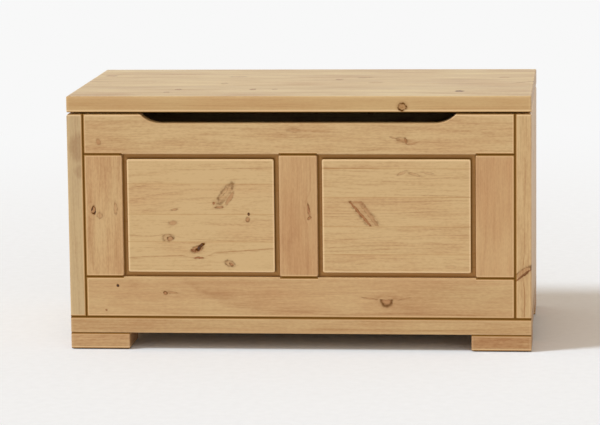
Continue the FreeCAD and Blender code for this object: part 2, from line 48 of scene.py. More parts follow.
def hexToLinear(code):
    # an sRGB hex colour as the linear values that sockets take
    parts = [int(code[i:i + 2], 16) / 255 for i in (0, 2, 4)]
    return (*[p / 12.92 if p <= 0.04045 else ((p + 0.055) / 1.055) ** 2.4 for p in parts], 1.0)


def addNode(tree, kind, inputs=(), **settings):
    # adds a node, sets its properties, then links or fills its inputs by place or by name
    node = tree.nodes.new(kind)
    for key, value in settings.items():
        setattr(node, key, value)
    pairs = inputs.items() if isinstance(inputs, dict) else enumerate(inputs)
    for place, value in pairs:
        if value is None:
            continue
        if isinstance(value, bpy.types.Node):
            value = value.outputs[0]
        if isinstance(value, bpy.types.NodeSocket):
            tree.links.new(value, node.inputs[place])
        else:
            node.inputs[place].default_value = value
    return node


def addStops(ramp, stops):
    # fills a colour ramp with (place, grey or colour) stops
    elements = ramp.color_ramp.elements
    while len(elements) < len(stops):
        elements.new(0.5)
    for element, (place, value) in zip(elements, stops):
        element.position = place
        element.color = value if isinstance(value, tuple) else (value, value, value, 1)
    return ramp


def addSockets(tree, inputs, outputs):
    # names a group's inputs and outputs: name -> (socket type, default)
    for name, (kind, value) in inputs.items():
        socket = tree.interface.new_socket(name, in_out="INPUT", socket_type=kind)
        if value is not None:
            socket.default_value = value
    for name, kind in outputs.items():
        tree.interface.new_socket(name, in_out="OUTPUT", socket_type=kind)


def newMaterial(name):
    material = bpy.data.materials.new(name)
    material.use_nodes = True
    material.node_tree.nodes.clear()
    return material, material.node_tree


def newPiece(name, shape, material, sharpAngle=30):
    # a bmesh becomes an object at the origin, its place in its mesh
    bmesh.ops.recalc_face_normals(shape, faces=shape.faces)
    mesh = bpy.data.meshes.new(name)
    shape.to_mesh(mesh)
    shape.free()
    mesh.set_sharp_from_angle(angle=math.radians(sharpAngle))
    mesh.materials.append(material)
    piece = bpy.data.objects.new(name, mesh)
    bpy.context.scene.collection.objects.link(piece)
    return piece


def settle(piece, body, nodes):
    # says which body carries the piece and which CAD nodes it stands for
    modifier = piece.modifiers.new("flat faces stay flat", "WEIGHTED_NORMAL")
    modifier.keep_sharp = True
    bpy.context.view_layer.update()
    applyModifiers(piece)
    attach(piece, body)
    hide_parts(*nodes)
    return piece


def applyModifiers(piece):
    # the evaluated shape becomes the piece's own mesh
    depsgraph = bpy.context.evaluated_depsgraph_get()
    mesh = bpy.data.meshes.new_from_object(piece.evaluated_get(depsgraph))
    piece.modifiers.clear()
    old = piece.data
    piece.data = mesh
    bpy.data.meshes.remove(old)
    mesh.name = piece.name
    return piece


def nodeBox(node):
    # a CAD node's corners in millimetres
    low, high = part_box(node)
    return low / mm, high / mm


# metres and radians
cameraView = {
    "place": (0.5029, -5.3821, 1.0159),
    "yaw": -0.0967,      # towards -X
    "pitch": 0.1484,     # down
    "roll": -0.0115,
    "lens": 182.67,      # on a 36 mm wide sensor
}
cameraData = bpy.data.cameras.new("camera")
cameraData.sensor_width = 36
cameraData.lens = cameraView["lens"]
cameraData.clip_end = 100
camera = bpy.data.objects.new("camera", cameraData)
turn = Matrix.Rotation(-cameraView["yaw"], 4, "Z")
tilt = Matrix.Rotation(math.pi / 2 - cameraView["pitch"], 4, "X")
roll = Matrix.Rotation(cameraView["roll"], 4, "Z")
camera.matrix_world = Matrix.Translation(cameraView["place"]) @ turn @ tilt @ roll
bpy.context.scene.collection.objects.link(camera)
bpy.context.scene.camera = camera
print("camera placed")

studio = {
    "floorColour": "F2F8FF",
    "farColour": "F8F8F8",
    "floorRadius": 40,       # metres
    "backdropFrom": 0.9,     # where the floor starts to turn into the backdrop, and where it has
    "backdropTo": 3.0,
    "sky": {"colour": "FFE9CF", "strength": 0.60},
    # where each lamp stands, seen from the chest, and the degrees that it spans
    "lamps": {
        "key": {"from": (-0.80, -0.34, 0.80), "colour": "EDF7FF", "strength": 2.06, "softness": 14},
        "fill": {"from": (0.10, -1.0, 0.48), "colour": "DDEAFF", "strength": 0.46, "softness": 60},
    },
}


def seenDirectly(tree):
    # 1 where the camera or a reflection looks at a surface, 0 where light falls on it
    rays = addNode(tree, "ShaderNodeLightPath").outputs
    return addNode(tree, "ShaderNodeMath", (rays["Is Camera Ray"], rays["Is Glossy Ray"]), operation="MAXIMUM")


def makeFloor():
    # pale painted studio floor: matt, so it only takes the soft shadow; far out it turns into the white backdrop
    shape = bmesh.new()
    bmesh.ops.create_circle(shape, cap_ends=True, segments=96, radius=studio["floorRadius"])
    material, tree = newMaterial("matt painted floor")
    place = addNode(tree, "ShaderNodeTexCoord").outputs["Object"]
    mottle = addNode(tree, "ShaderNodeTexNoise", {"Vector": place, "Scale": 60.0, "Detail": 3.0})
    shade = addNode(tree, "ShaderNodeMapRange", (mottle, 0.3, 0.7, 0.97, 1.0))
    paint = addNode(tree, "ShaderNodeVectorMath", (hexToLinear(studio["floorColour"])[:3], None, None, shade),
                    operation="SCALE")
    matt = addNode(tree, "ShaderNodeBsdfDiffuse", {"Color": paint})
    glow = addNode(tree, "ShaderNodeEmission", {"Color": hexToLinear(studio["farColour"]), "Strength": 1.0})
    distance = addNode(tree, "ShaderNodeVectorMath", (place,), operation="LENGTH")
    far = addNode(tree, "ShaderNodeMapRange",
                  (distance.outputs["Value"], studio["backdropFrom"], studio["backdropTo"], 0.0, 1.0),
                  interpolation_type="SMOOTHSTEP")
    share = addNode(tree, "ShaderNodeMath", (far, seenDirectly(tree)), operation="MULTIPLY")
    mixed = addNode(tree, "ShaderNodeMixShader", (share, matt, glow))
    addNode(tree, "ShaderNodeOutputMaterial", (mixed,))
    floor = newPiece("studioFloor", shape, material)


def makeLights():
    world = bpy.data.worlds.new("studio")
    bpy.context.scene.world = world
    world.use_nodes = True
    tree = world.node_tree
    tree.nodes.clear()
    sky = addNode(tree, "ShaderNodeBackground",
                  {"Color": hexToLinear(studio["sky"]["colour"]), "Strength": studio["sky"]["strength"]})
    backdrop = addNode(tree, "ShaderNodeBackground", {"Color": hexToLinear(studio["farColour"]), "Strength": 1.0})
    mixed = addNode(tree, "ShaderNodeMixShader", (seenDirectly(tree), sky, backdrop))
    addNode(tree, "ShaderNodeOutputWorld", (mixed,))
    for name, settings in studio["lamps"].items():
        lamp = bpy.data.lights.new(name, "SUN")
        lamp.energy = settings["strength"]
        lamp.color = hexToLinear(settings["colour"])[:3]
        lamp.angle = math.radians(settings["softness"])
        holder = bpy.data.objects.new(name, lamp)
        holder.rotation_mode = "QUATERNION"
        holder.rotation_quaternion = Vector(settings["from"]).to_track_quat("Z", "Y")
        bpy.context.scene.collection.objects.link(holder)


makeFloor()
makeLights()
print("floor and lights made")

# Waxed knotty pine, plain-sawn and planed: pale early wood between honey-brown late wood lines, branch knots
# that the lines swing round, and a low satin sheen. All lengths in the pattern are millimetres of real wood.
pine = {
    "earlyWood": "CBAB79",
    "lateWood": "A47743",
    "heartEarly": "C59A68",
    "heartLate": "9C683A",
    "knotCore": "A56C3C",
    "knotRim": "5A3208",
    "knotHole": "1C0C02",
    "wornAndHighlight": "F2D2A2",        # rounded edges: painted highlight, and a little rubbed wear
    "creviceShadeAndGlue": "A26C1C",     # painted shade in the channels and where a round starts, and the glue lines between staves
    "joint": "744F18",       # painted shade down in a joint and in the lid's gap
    "grey": "AC9C7C",        # wood that has seen some sun
    "paintedTopLightColour": "EBDFB0",    # painted light: a top face paler where the light falls on it
    "ringGap": 3.2,
    "wander": 18.0,          # how far the rings stray slowly, and how far they ripple
    "ripple": 2.2,
    "swing": 0.5,            # how strongly the growth lines swing round a knot
    "plain": 0.20,           # how dark wood is between its lines, and what else darkens it
    "darkens": {"streak": 0.55, "fibre": 1.2, "fleck": 0.8, "cloud": 0.45},
    "resin": 0.38,           # and how much darker it is next to a knot
    "ridge": 0.0003,         # metres between the highest and the lowest fibre
}
# one year of growth, from early wood to late wood and the sharp step to the next
yearOfGrowth = ((0.0, 0.06), (0.45, 0.08), (0.72, 0.38), (0.88, 1.0), (0.93, 0.9), (1.0, 0.06))
# each noise of the wood: spots per millimetre along the grain and across it, detail and roughness
woodNoises = {
    "slow": (0.0013, 0.008, 1.0, 0.5),       # 770 by 125 mm
    "ripple": (0.0055, 0.045, 2.0, 0.5),     # 180 by 22 mm
    "fibre": (0.018, 0.36, 4.0, 0.65),       # 56 by 2.8 mm
    "fleck": (0.14, 0.40, 2.0, 0.5),         # 7 by 2.5 mm, resin canals drawn coarse enough to show
    "streak": (0.0045, 0.085, 3.0, 0.6),     # 220 by 12 mm
    "cloud": (0.0060, 0.018, 2.0, 0.5),      # 170 by 56 mm
}
# which way the grain runs, which way lies across it on the board's face, and which way goes into the board
axisOrder = {"x": "XYZ", "xFront": "XZY", "yFlat": "YXZ", "z": "ZXY", "zSide": "ZYX"}
knotMarks = ("Swell", "Core", "Rim", "Halo")
anyDepth = 1e6      # half size of a knot that goes right through the board


def makeKnotGroup():
    # one branch knot: it adds its swell, core, rim and halo to those of the knots before it
    tree = bpy.data.node_groups.new("knot", "ShaderNodeTree")
    number, direction = "NodeSocketFloat", "NodeSocketVector"
    addSockets(
        tree,
        {
            "Point": (direction, None), "Centre": (direction, None), "Turn": (direction, (0, 0, 0)),
            "Half Size": (direction, (5, 5, 30)), "Spread": (direction, (20, 10, 30)),
            "Core": (number, 0.6), "Rim": (number, 0.8), "Stain": (number, 0.0), "Swell": (number, 1.5),
            "Bark": (number, 1.0), "Low": (number, -9999.0), "High": (number, 9999.0),
            **{mark + " Before": (number, 0.0) for mark in knotMarks},
        },
        {mark: number for mark in knotMarks},
    )
    given = addNode(tree, "NodeGroupInput").outputs
    maths, vector, spread = "ShaderNodeMath", "ShaderNodeVectorMath", "ShaderNodeMapRange"
    offset = addNode(tree, vector, (given["Point"], given["Centre"]), operation="SUBTRACT")
    turned = addNode(tree, "ShaderNodeVectorRotate", {"Vector": offset, "Rotation": given["Turn"]},
                     rotation_type="EULER_XYZ")
    scaled = addNode(tree, vector, (turned, given["Half Size"]), operation="DIVIDE")
    reach = addNode(tree, vector, (scaled,), operation="LENGTH").outputs["Value"]
    inside = addNode(tree, spread, (reach, 0.80, 1.05, 1.0, 0.0), interpolation_type="SMOOTHSTEP")
    fromRim = addNode(tree, maths, (reach, 0.95), operation="SUBTRACT")
    fromRim = addNode(tree, maths, (fromRim,), operation="ABSOLUTE")
    onRim = addNode(tree, spread, (fromRim, 0.0, 0.46, 1.0, 0.0), interpolation_type="SMOOTHSTEP")
    # the rim comes and goes, as bark round a branch does
    broken = addNode(tree, "ShaderNodeTexNoise", {"Vector": given["Point"], "Scale": 0.17, "Detail": 1.0})
    broken = addNode(tree, spread, (broken, 0.38, 0.62, -0.75, 0.3))
    broken = addNode(tree, maths, (broken, given["Bark"], 1.0), operation="MULTIPLY_ADD")
    onRim = addNode(tree, maths, (onRim, broken), operation="MULTIPLY")
    # rings inside the knot
    rings = addNode(tree, maths, (reach, 15.0), operation="MULTIPLY")
    rings = addNode(tree, maths, (rings,), operation="SINE")
    rings = addNode(tree, spread, (rings, -1.0, 1.0, 0.82, 1.0))
    inside = addNode(tree, maths, (inside, rings), operation="MULTIPLY")
    # the stave that holds the knot
    across = addNode(tree, "ShaderNodeSeparateXYZ", (given["Point"],)).outputs["Y"]
    above = addNode(tree, maths, (across, given["Low"]), operation="GREATER_THAN")
    below = addNode(tree, maths, (across, given["High"]), operation="LESS_THAN")
    held = addNode(tree, maths, (above, below), operation="MULTIPLY")
    # the resin-stained wood round it
    halo = addNode(tree, spread, (reach, 0.9, 2.0, 1.0, 0.0), interpolation_type="SMOOTHSTEP")
    stain = addNode(tree, maths, (given["Rim"], given["Stain"]), operation="MAXIMUM")
    shown = {}
    for mark, amount, strength in (("Core", inside, given["Core"]), ("Rim", onRim, given["Rim"]),
                                   ("Halo", halo, stain)):
        amount = addNode(tree, maths, (amount, held), operation="MULTIPLY")
        amount = addNode(tree, maths, (amount, strength), operation="MULTIPLY")
        shown[mark] = addNode(tree, maths, (amount, given[mark + " Before"]), operation="MAXIMUM")
    # how far the growth lines swing out
    wide = addNode(tree, vector, (offset, given["Spread"]), operation="DIVIDE")
    wide = addNode(tree, vector, (wide,), operation="LENGTH").outputs["Value"]
    swell = addNode(tree, spread, (wide, 0.0, 1.0, 1.0, 0.0), interpolation_type="SMOOTHERSTEP")
    shown["Swell"] = addNode(tree, maths, (swell, given["Swell"], given["Swell Before"]),
                             operation="MULTIPLY_ADD")
    addNode(tree, "NodeGroupOutput", shown)
    return tree


def makePineGroup():
    # the wood itself, from a point given as (along the grain, across the board, into the board)
    tree = bpy.data.node_groups.new("pine", "ShaderNodeTree")
    number, direction = "NodeSocketFloat", "NodeSocketVector"
    addSockets(
        tree,
        {
            "Point": (direction, None), "Pith": (direction, (0.03, 0, 60)),     # slope, across, depth
            "Ring Gap": (number, 3.6), "Contrast": (number, 1.0), "Polish": (number, 0.5),
            **{name: (number, 0.0) for name in ("Seed", "Heart", *knotMarks, "Tone", "Grey", "Painted Top Light", "Worn And Highlight",
                                                "Crevice Shade And Glue", "End Grain")},
        },
        {"Colour": "NodeSocketColor", "Height": number, "Roughness": number, "Sheen": number},
    )
    given = addNode(tree, "NodeGroupInput").outputs
    maths, vector, mix, spread = "ShaderNodeMath", "ShaderNodeVectorMath", "ShaderNodeMix", "ShaderNodeMapRange"
    noise, middle = "ShaderNodeTexNoise", 0.5
    shift = addNode(tree, vector, ((913, 377, 641), None, None, given["Seed"]), operation="SCALE")
    point = addNode(tree, vector, (given["Point"], shift), operation="ADD")
    varies = {}
    for name, (along, across, detail, roughness) in woodNoises.items():
        place = addNode(tree, vector, (point, (along, across, across)), operation="MULTIPLY")
        found = addNode(tree, noise, {"Vector": place, "Scale": 1.0, "Detail": detail, "Roughness": roughness})
        if name in ("slow", "ripple"):
            varies[name] = addNode(tree, vector, (found.outputs["Color"], (middle, middle, middle)),
                                   operation="SUBTRACT")
        else:
            varies[name] = addNode(tree, maths, (found, middle), operation="SUBTRACT")
    # slow wander of the growth rings along the trunk, and a finer ripple
    bent = given["Point"]
    for name, far in (("slow", pine["wander"]), ("ripple", pine["ripple"])):
        bent = addNode(tree, vector, (varies[name], (0, far, far), bent), operation="MULTIPLY_ADD")
    parts = addNode(tree, "ShaderNodeSeparateXYZ", (bent,)).outputs
    pith = addNode(tree, "ShaderNodeSeparateXYZ", (given["Pith"],)).outputs
    away = addNode(tree, maths, (parts["Y"], pith["Y"]), operation="SUBTRACT")
    deep = addNode(tree, maths, (parts["X"], pith["X"], parts["Z"]), operation="MULTIPLY_ADD")
    deep = addNode(tree, maths, (deep, pith["Z"]), operation="ADD")
    flat = addNode(tree, "ShaderNodeCombineXYZ", {"Y": away, "Z": deep})
    radius = addNode(tree, vector, (flat,), operation="LENGTH").outputs["Value"]
    # fat years and lean years
    yearsAt = addNode(tree, maths, (radius, 0.06), operation="MULTIPLY")
    yearsAt = addNode(tree, maths, (given["Seed"], 17.0, yearsAt), operation="MULTIPLY_ADD")
    years = addNode(tree, noise, {"W": yearsAt, "Scale": 1.0, "Detail": 1.0}, noise_dimensions="1D")
    count = addNode(tree, maths, (radius, given["Ring Gap"]), operation="DIVIDE")
    count = addNode(tree, maths, (years, 3.0, count), operation="MULTIPLY_ADD")
    count = addNode(tree, maths, (count, given["Swell"]), operation="ADD")
    year = addNode(tree, maths, (count,), operation="FRACT")
    late = addStops(addNode(tree, "ShaderNodeValToRGB", (year,)), yearOfGrowth)
    whole = addNode(tree, maths, (count,), operation="FLOOR")
    strength = addNode(tree, "ShaderNodeTexWhiteNoise", {"W": whole}, noise_dimensions="1D").outputs["Value"]
    strength = addNode(tree, maths, (strength, 1.7), operation="POWER")
    strength = addNode(tree, spread, (strength, 0.0, 1.0, 0.15, 0.95))
    late = addNode(tree, maths, (late, strength), operation="MULTIPLY")
    # the lines fade in and out, and fibres, flecks, streaks and clouds lie over them
    fade = addNode(tree, maths, (varies["streak"], 2.0, 0.50), operation="MULTIPLY_ADD")
    dark = addNode(tree, maths, (late, fade, pine["plain"]), operation="MULTIPLY_ADD")
    for name, weight in pine["darkens"].items():
        dark = addNode(tree, maths, (varies[name], weight, dark), operation="MULTIPLY_ADD")
    dark = addNode(tree, maths, (dark, given["Contrast"], given["Tone"]), operation="MULTIPLY_ADD")
    dark = addNode(tree, maths, (given["Halo"], pine["resin"], dark), operation="MULTIPLY_ADD", use_clamp=True)
    heart = addNode(tree, maths, (varies["cloud"], 1.5, given["Heart"]), operation="MULTIPLY_ADD")
    heart = addNode(tree, maths, (varies["streak"], 0.6, heart), operation="MULTIPLY_ADD", use_clamp=True)
    grey = addNode(tree, maths, (varies["cloud"], 1.2, 1.0), operation="MULTIPLY_ADD")
    grey = addNode(tree, maths, (grey, given["Grey"]), operation="MULTIPLY", use_clamp=True)
    # painted light: the top is paler where light falls on it, broken up by streaks and clouds
    paintedTopLight = addNode(tree, maths, (varies["streak"], -1.6, 1.0), operation="MULTIPLY_ADD")
    paintedTopLight = addNode(tree, maths, (varies["cloud"], -1.5, paintedTopLight), operation="MULTIPLY_ADD")
    paintedTopLight = addNode(tree, maths, (paintedTopLight, given["Painted Top Light"]), operation="MULTIPLY", use_clamp=True)
    # painted highlight on the rounded edges, standing also for a little wear
    rubbedAndHighlight = addNode(tree, maths, (given["Worn And Highlight"], 0.5), operation="MULTIPLY")
    # a core of 2 is a dead knot, as dark as its rim, and one of 3 a black pin knot
    live = addNode(tree, maths, (given["Core"], 1.0), operation="MINIMUM")
    dead = addNode(tree, maths, (given["Core"], 1.0), operation="SUBTRACT", use_clamp=True)
    black = addNode(tree, maths, (given["Core"], 2.0), operation="SUBTRACT", use_clamp=True)
    # painted shade: shallow in channels, at round starts and on glue lines; deep in joints and the lid gap
    shallowShadeAndGlue = addNode(tree, spread, (given["Crevice Shade And Glue"], 0.10, 0.45, 0.0, 0.72))
    deepShade = addNode(tree, spread, (given["Crevice Shade And Glue"], 0.45, 0.90, 0.0, 0.96))
    tints = {name: hexToLinear(code) for name, code in pine.items() if isinstance(code, str)}
    for name, share, first, second in (("honey", dark, "earlyWood", "lateWood"),
                                       ("red", dark, "heartEarly", "heartLate"),
                                       ("branch", dead, "knotCore", "knotRim")):
        tints[name] = addNode(tree, mix, {0: share, 6: tints[first], 7: tints[second]},
                              data_type="RGBA").outputs[2]
    # each colour lies over those before it; cut ends drink more wax
    colour = tints["honey"]
    # painted top light, painted highlight on the rounds and painted shade lie over the wood's own colours here
    for share, name in ((heart, "red"), (grey, "grey"), (paintedTopLight, "paintedTopLightColour"), (given["End Grain"], "heartLate"),
                        (rubbedAndHighlight, "wornAndHighlight"), (live, "branch"), (given["Rim"], "knotRim"), (black, "knotHole"),
                        (shallowShadeAndGlue, "creviceShadeAndGlue"), (deepShade, "joint")):
        colour = addNode(tree, mix, {0: share, 6: colour, 7: tints[name]}, data_type="RGBA").outputs[2]
    # late wood stands a little proud of the planed face, fibres leave fine lines, knots sink at their rims
    height = addNode(tree, maths, (late, 0.5), operation="MULTIPLY")
    height = addNode(tree, maths, (varies["fibre"], 0.6, height), operation="MULTIPLY_ADD")
    height = addNode(tree, maths, (given["Rim"], -1.2, height), operation="MULTIPLY_ADD")
    rough = addNode(tree, maths, (late, -0.08, 0.46), operation="MULTIPLY_ADD")
    rough = addNode(tree, maths, (varies["fibre"], 0.15, rough), operation="MULTIPLY_ADD")
    # the sheen drops where shade is painted into joints and channels, and little of it stays on knots
    dull = addNode(tree, maths, (shallowShadeAndGlue, 0.7), operation="MULTIPLY")
    dull = addNode(tree, maths, (dull, deepShade), operation="MAXIMUM")
    dull = addNode(tree, maths, (dull, given["Rim"]), operation="MAXIMUM")
    sheen = addNode(tree, spread, (dull, 0.0, 1.0, given["Polish"], 0.05))
    addNode(tree, "NodeGroupOutput", {"Colour": colour, "Height": height, "Roughness": rough, "Sheen": sheen})
    return tree


knotGroup = makeKnotGroup()
pineGroup = makePineGroup()


def knotSettings(knot):
    # a knot is (along, across, half length, half width, turn in degrees, core, rim, swell) and goes right through
    # the board; two more numbers keep it between two places across the board, and a third says how much its
    # rim breaks up. One that lies another way is given as the group's own settings
    if isinstance(knot, dict):
        return knot
    along, across, halfLong, halfWide, turnDeg, core, rim, swell, *more = knot
    half = max(halfLong, halfWide)
    return {
        "Centre": (along, across, 0),
        "Turn": (0, 0, -math.radians(turnDeg)),
        "Half Size": (halfLong, halfWide, anyDepth),
        "Spread": (3.0 * half + 8, 1.8 * half + 5, anyDepth),
        "Core": core,
        "Rim": rim,
        "Swell": swell * pine["swing"],
        **dict(zip(("Low", "High", "Bark"), more)),
    }


def pineMaterial(name, look):
    # look: grain, seed, pith, heart, contrast, cuts (glue lines across the board) and knots
    material, tree = newMaterial(name)
    maths, vector, spread = "ShaderNodeMath", "ShaderNodeVectorMath", "ShaderNodeMapRange"
    coords = addNode(tree, "ShaderNodeTexCoord").outputs
    metres = addNode(tree, "ShaderNodeSeparateXYZ", (coords["Object"],)).outputs
    normals = addNode(tree, "ShaderNodeSeparateXYZ", (coords["Normal"],)).outputs
    order = axisOrder[look["grain"]]
    swapped = addNode(tree, "ShaderNodeCombineXYZ", [metres[axis] for axis in order])
    point = addNode(tree, vector, (swapped, None, None, 1 / mm), operation="SCALE")
    across = addNode(tree, "ShaderNodeSeparateXYZ", (point,)).outputs["Y"]
    # painted shade and painted highlight that the mesh carries on its vertices
    creviceShadeAndGlue, wornAndHighlight = [addNode(tree, "ShaderNodeAttribute", attribute_name=kind).outputs["Fac"]
                     for kind in ("creviceShadeAndGlue", "wornAndHighlight")]
    seed, pith = look["seed"], look.get("pith", (0.03, 0, 60))
    heart, tone = look["heart"], look.get("tone", 0.0)
    # a dark glue line at each cut, put in with the painted shade
    for cut in look.get("cuts", ()):
        over = addNode(tree, maths, (across, float(cut)), operation="GREATER_THAN")
        seed = addNode(tree, maths, (over, 1.37, seed), operation="MULTIPLY_ADD")
        near = addNode(tree, maths, (across, float(cut)), operation="SUBTRACT")
        near = addNode(tree, maths, (near,), operation="ABSOLUTE")
        near = addNode(tree, spread, (near, 0.15, 0.75, 0.35, 0.0))
        creviceShadeAndGlue = addNode(tree, maths, (creviceShadeAndGlue, near), operation="MAXIMUM")
    if "cuts" in look:
        # every stave comes from another part of a trunk
        chance = addNode(tree, "ShaderNodeTexWhiteNoise", {"W": seed}, noise_dimensions="1D").outputs
        stave = addNode(tree, vector, (chance["Color"], (0.5, 0.5, 0.5)), operation="SUBTRACT")
        pith = addNode(tree, vector, (stave, (0.06, 260, 70), pith), operation="MULTIPLY_ADD")
        heart = addNode(tree, spread, (chance["Value"], 0.0, 1.0, heart - 0.12, heart + 0.16))
        half = look.get("staves", 0.0) / 2
        tone = addNode(tree, spread, (chance["Value"], 0.0, 1.0, tone - half, tone + half))
    # a little noise makes every knot's outline its own
    wobble = addNode(tree, "ShaderNodeTexNoise", {"Vector": point, "Scale": 0.16, "Detail": 2.0}).outputs["Color"]
    wobble = addNode(tree, vector, (wobble, (0.5, 0.5, 0.5)), operation="SUBTRACT")
    loose = addNode(tree, vector, (wobble, (3.6, 3.6, 0), point), operation="MULTIPLY_ADD")
    marks = {}
    for knot in look.get("knots", ()):
        before = {mark + " Before": value for mark, value in marks.items()}
        held = addNode(tree, "ShaderNodeGroup", {"Point": loose, **knotSettings(knot), **before},
                       node_tree=knotGroup)
        marks = {mark: held.outputs[mark] for mark in knotMarks}
    shown = {
        "Heart": heart, "Tone": tone, "Contrast": look.get("contrast", 1.0), "Grey": look.get("grey", 0.0),
        "Painted Top Light": look.get("paintedTopLight", 0.0), "Polish": look.get("polish", 0.5), "End Grain": 0.0,
    }
    # the board's long edges can have these in another measure than its faces
    facing = addNode(tree, maths, (normals[order[1]],), operation="ABSOLUTE")
    for key, value in look.get("edge", {}).items():
        shown[key] = addNode(tree, spread, (facing, 0.5, 0.95, shown[key], value))
    facing = addNode(tree, maths, (normals[order[0]],), operation="ABSOLUTE")
    ends = addNode(tree, spread, (facing, 0.7, 0.95, 0.0, 0.4))
    shown["End Grain"] = addNode(tree, maths, (ends, shown["End Grain"]), operation="MAXIMUM")
    wood = addNode(tree, "ShaderNodeGroup",
                   {"Point": point, "Seed": seed, "Pith": pith, "Crevice Shade And Glue": creviceShadeAndGlue, "Worn And Highlight": wornAndHighlight,
                    "Ring Gap": pine["ringGap"], **shown, **marks}, node_tree=pineGroup).outputs
    bump = addNode(tree, "ShaderNodeBump",
                   {"Height": wood["Height"], "Strength": 0.35, "Distance": pine["ridge"]})
    surface = addNode(tree, "ShaderNodeBsdfPrincipled",
                      {"Base Color": wood["Colour"], "Roughness": wood["Roughness"], "Normal": bump, "IOR": 1.5,
                       "Specular IOR Level": wood["Sheen"]})
    addNode(tree, "ShaderNodeOutputMaterial", (surface,))
    return material


def roundedBlock(low, high, radius, planes=(), segments=4, softEdges=()):
    # a block whose edges that lie in the given planes are rounded; with no planes all twelve are.
    # softEdges are single edges, each the meeting of two planes, with a wider round of their own
    shape = bmesh.new()
    boxInto(shape, low, high)
    for first, second, wide in softEdges:
        chosen = [edge for edge in shape.edges if liesIn(edge, *first) and liesIn(edge, *second)]
        bevelEdges(shape, chosen, wide, segments + 2)
    roundEdges(shape, radius, planes, segments)
    return shape


def liesIn(edge, axis, value):
    return all(abs(vertex.co["xyz".index(axis)] - value * mm) < 1e-7 for vertex in edge.verts)


def bevelEdges(shape, chosen, width, segments, clamped=False):
    return bmesh.ops.bevel(shape, geom=chosen, offset=width * mm, offset_type="OFFSET", segments=segments,
                           profile=0.5, affect="EDGES", clamp_overlap=clamped)["faces"]


def roundEdges(shape, radius, planes, segments=4):
    chosen = [edge for edge in shape.edges if not planes or any(liesIn(edge, *plane) for plane in planes)]
    for face in bevelEdges(shape, chosen, radius, segments):
        face.smooth = True


def boxInto(shape, low, high):
    # adds a plain block, given in millimetres
    for vertex in bmesh.ops.create_cube(shape, size=1)["verts"]:
        vertex.co = [(low[i] if vertex.co[i] < 0 else high[i]) * mm for i in range(3)]


def latheInto(shape, start, axis, profile, sides=32):
    # adds a closed turned solid from (radius, distance along the axis) pairs in millimetres
    turn = Vector((0, 0, 1)).rotation_difference(Vector(axis)).to_matrix()
    rings = []
    for radius, distance in profile:
        angles = [2 * math.pi * i / sides for i in range(sides)]
        points = [Vector((radius * math.cos(a), radius * math.sin(a), distance)) for a in angles]
        rings.append([shape.verts.new((Vector(start) + turn @ point) * mm) for point in points])
    for first, second in zip(rings, rings[1:]):
        for i in range(sides):
            j = (i + 1) % sides
            shape.faces.new((first[i], first[j], second[j], second[i]))
    shape.faces.new(rings[0])
    shape.faces.new(rings[-1])


def carve(piece, operation, fill):
    # joins to a piece, or cuts from it, the solids that a function adds to an empty shape
    shape = bmesh.new()
    fill(shape)
    bmesh.ops.recalc_face_normals(shape, faces=shape.faces)
    mesh = bpy.data.meshes.new("tool")
    shape.to_mesh(mesh)
    shape.free()
    tool = bpy.data.objects.new("tool", mesh)
    bpy.context.scene.collection.objects.link(tool)
    modifier = piece.modifiers.new("carve", "BOOLEAN")
    modifier.operation = operation
    modifier.solver = "EXACT"
    modifier.use_self = True
    modifier.object = tool
    bpy.context.view_layer.update()
    applyModifiers(piece)
    bpy.data.objects.remove(tool)
    bpy.data.meshes.remove(mesh)


def solidBoxes(node):
    # the box of each separate solid of a CAD node, in millimetres
    shape = bmesh.new()
    shape.from_mesh(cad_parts[node].data)
    bmesh.ops.remove_doubles(shape, verts=shape.verts, dist=1e-6)
    seen, boxes = set(), []
    for vertex in shape.verts:
        if vertex in seen:
            continue
        seen.add(vertex)
        found = [vertex]
        for current in found:
            for edge in current.link_edges:
                other = edge.other_vert(current)
                if other not in seen:
                    seen.add(other)
                    found.append(other)
        places = [item.co / mm for item in found]
        boxes.append([Vector([pick(place[i] for place in places) for i in range(3)]) for pick in (min, max)])
    shape.free()
    return sorted(boxes, key=lambda box: tuple(round(value, 3) for value in box[0]))


# each kind of screw and dowel: the way it is driven, and its sizes in millimetres
smallScrew = {"head": 3.1, "sink": 2.0, "shank": 1.6, "tip": 0.9}
fasteners = {
    "footScrews": {"node": "foot_screws", "drive": "up", "head": 4.3, "sink": 3.0, "shank": 2.2, "tip": 1.2},
    "battenScrews": {"node": "batten_screws", "drive": "up", "head": 3.9, "sink": 2.6, "shank": 2.0, "tip": 1.1},
    "hingeScrewsBack": {"node": "hinge_screws_back", "drive": "down", **smallScrew},
    "hingeScrewsLid": {"node": "hinge_screws_lid", "drive": "up", **smallScrew},
    "stayPlateScrews": {"node": "stay_plate_screws", "drive": "out", **smallScrew},
    "stayBracketScrews": {"node": "stay_bracket_screws", "drive": "up", **smallScrew},
    "frontRailDowels": {"node": "front_rail_dowels", "drive": "out", "radius": 4.0},
    "backRailDowels": {"node": "back_rail_dowels", "drive": "out", "radius": 4.0},
    "baseDowels": {"node": "base_dowels", "drive": "up", "radius": 4.0},
}
for kind in fasteners.values():
    kind["places"] = []
    for low, high in solidBoxes(kind["node"]):
        middle = (low + high) / 2
        if kind["drive"] == "out":
            axis = Vector((math.copysign(1, middle.x), 0, 0))
        else:
            axis = Vector((0, 0, 1 if kind["drive"] == "up" else -1))
        length = abs((high - low) @ axis)
        kind["places"].append((middle - axis * length / 2, axis, length))
print("fasteners found:", sum(len(kind["places"]) for kind in fasteners.values()))


# how much wider and longer than a screw or dowel its hole is, in millimetres
boreFit = {"plain": 0.1, "headTop": 0.25, "head": 0.15, "past": 0.5, "above": 0.3, "below": 0.2}


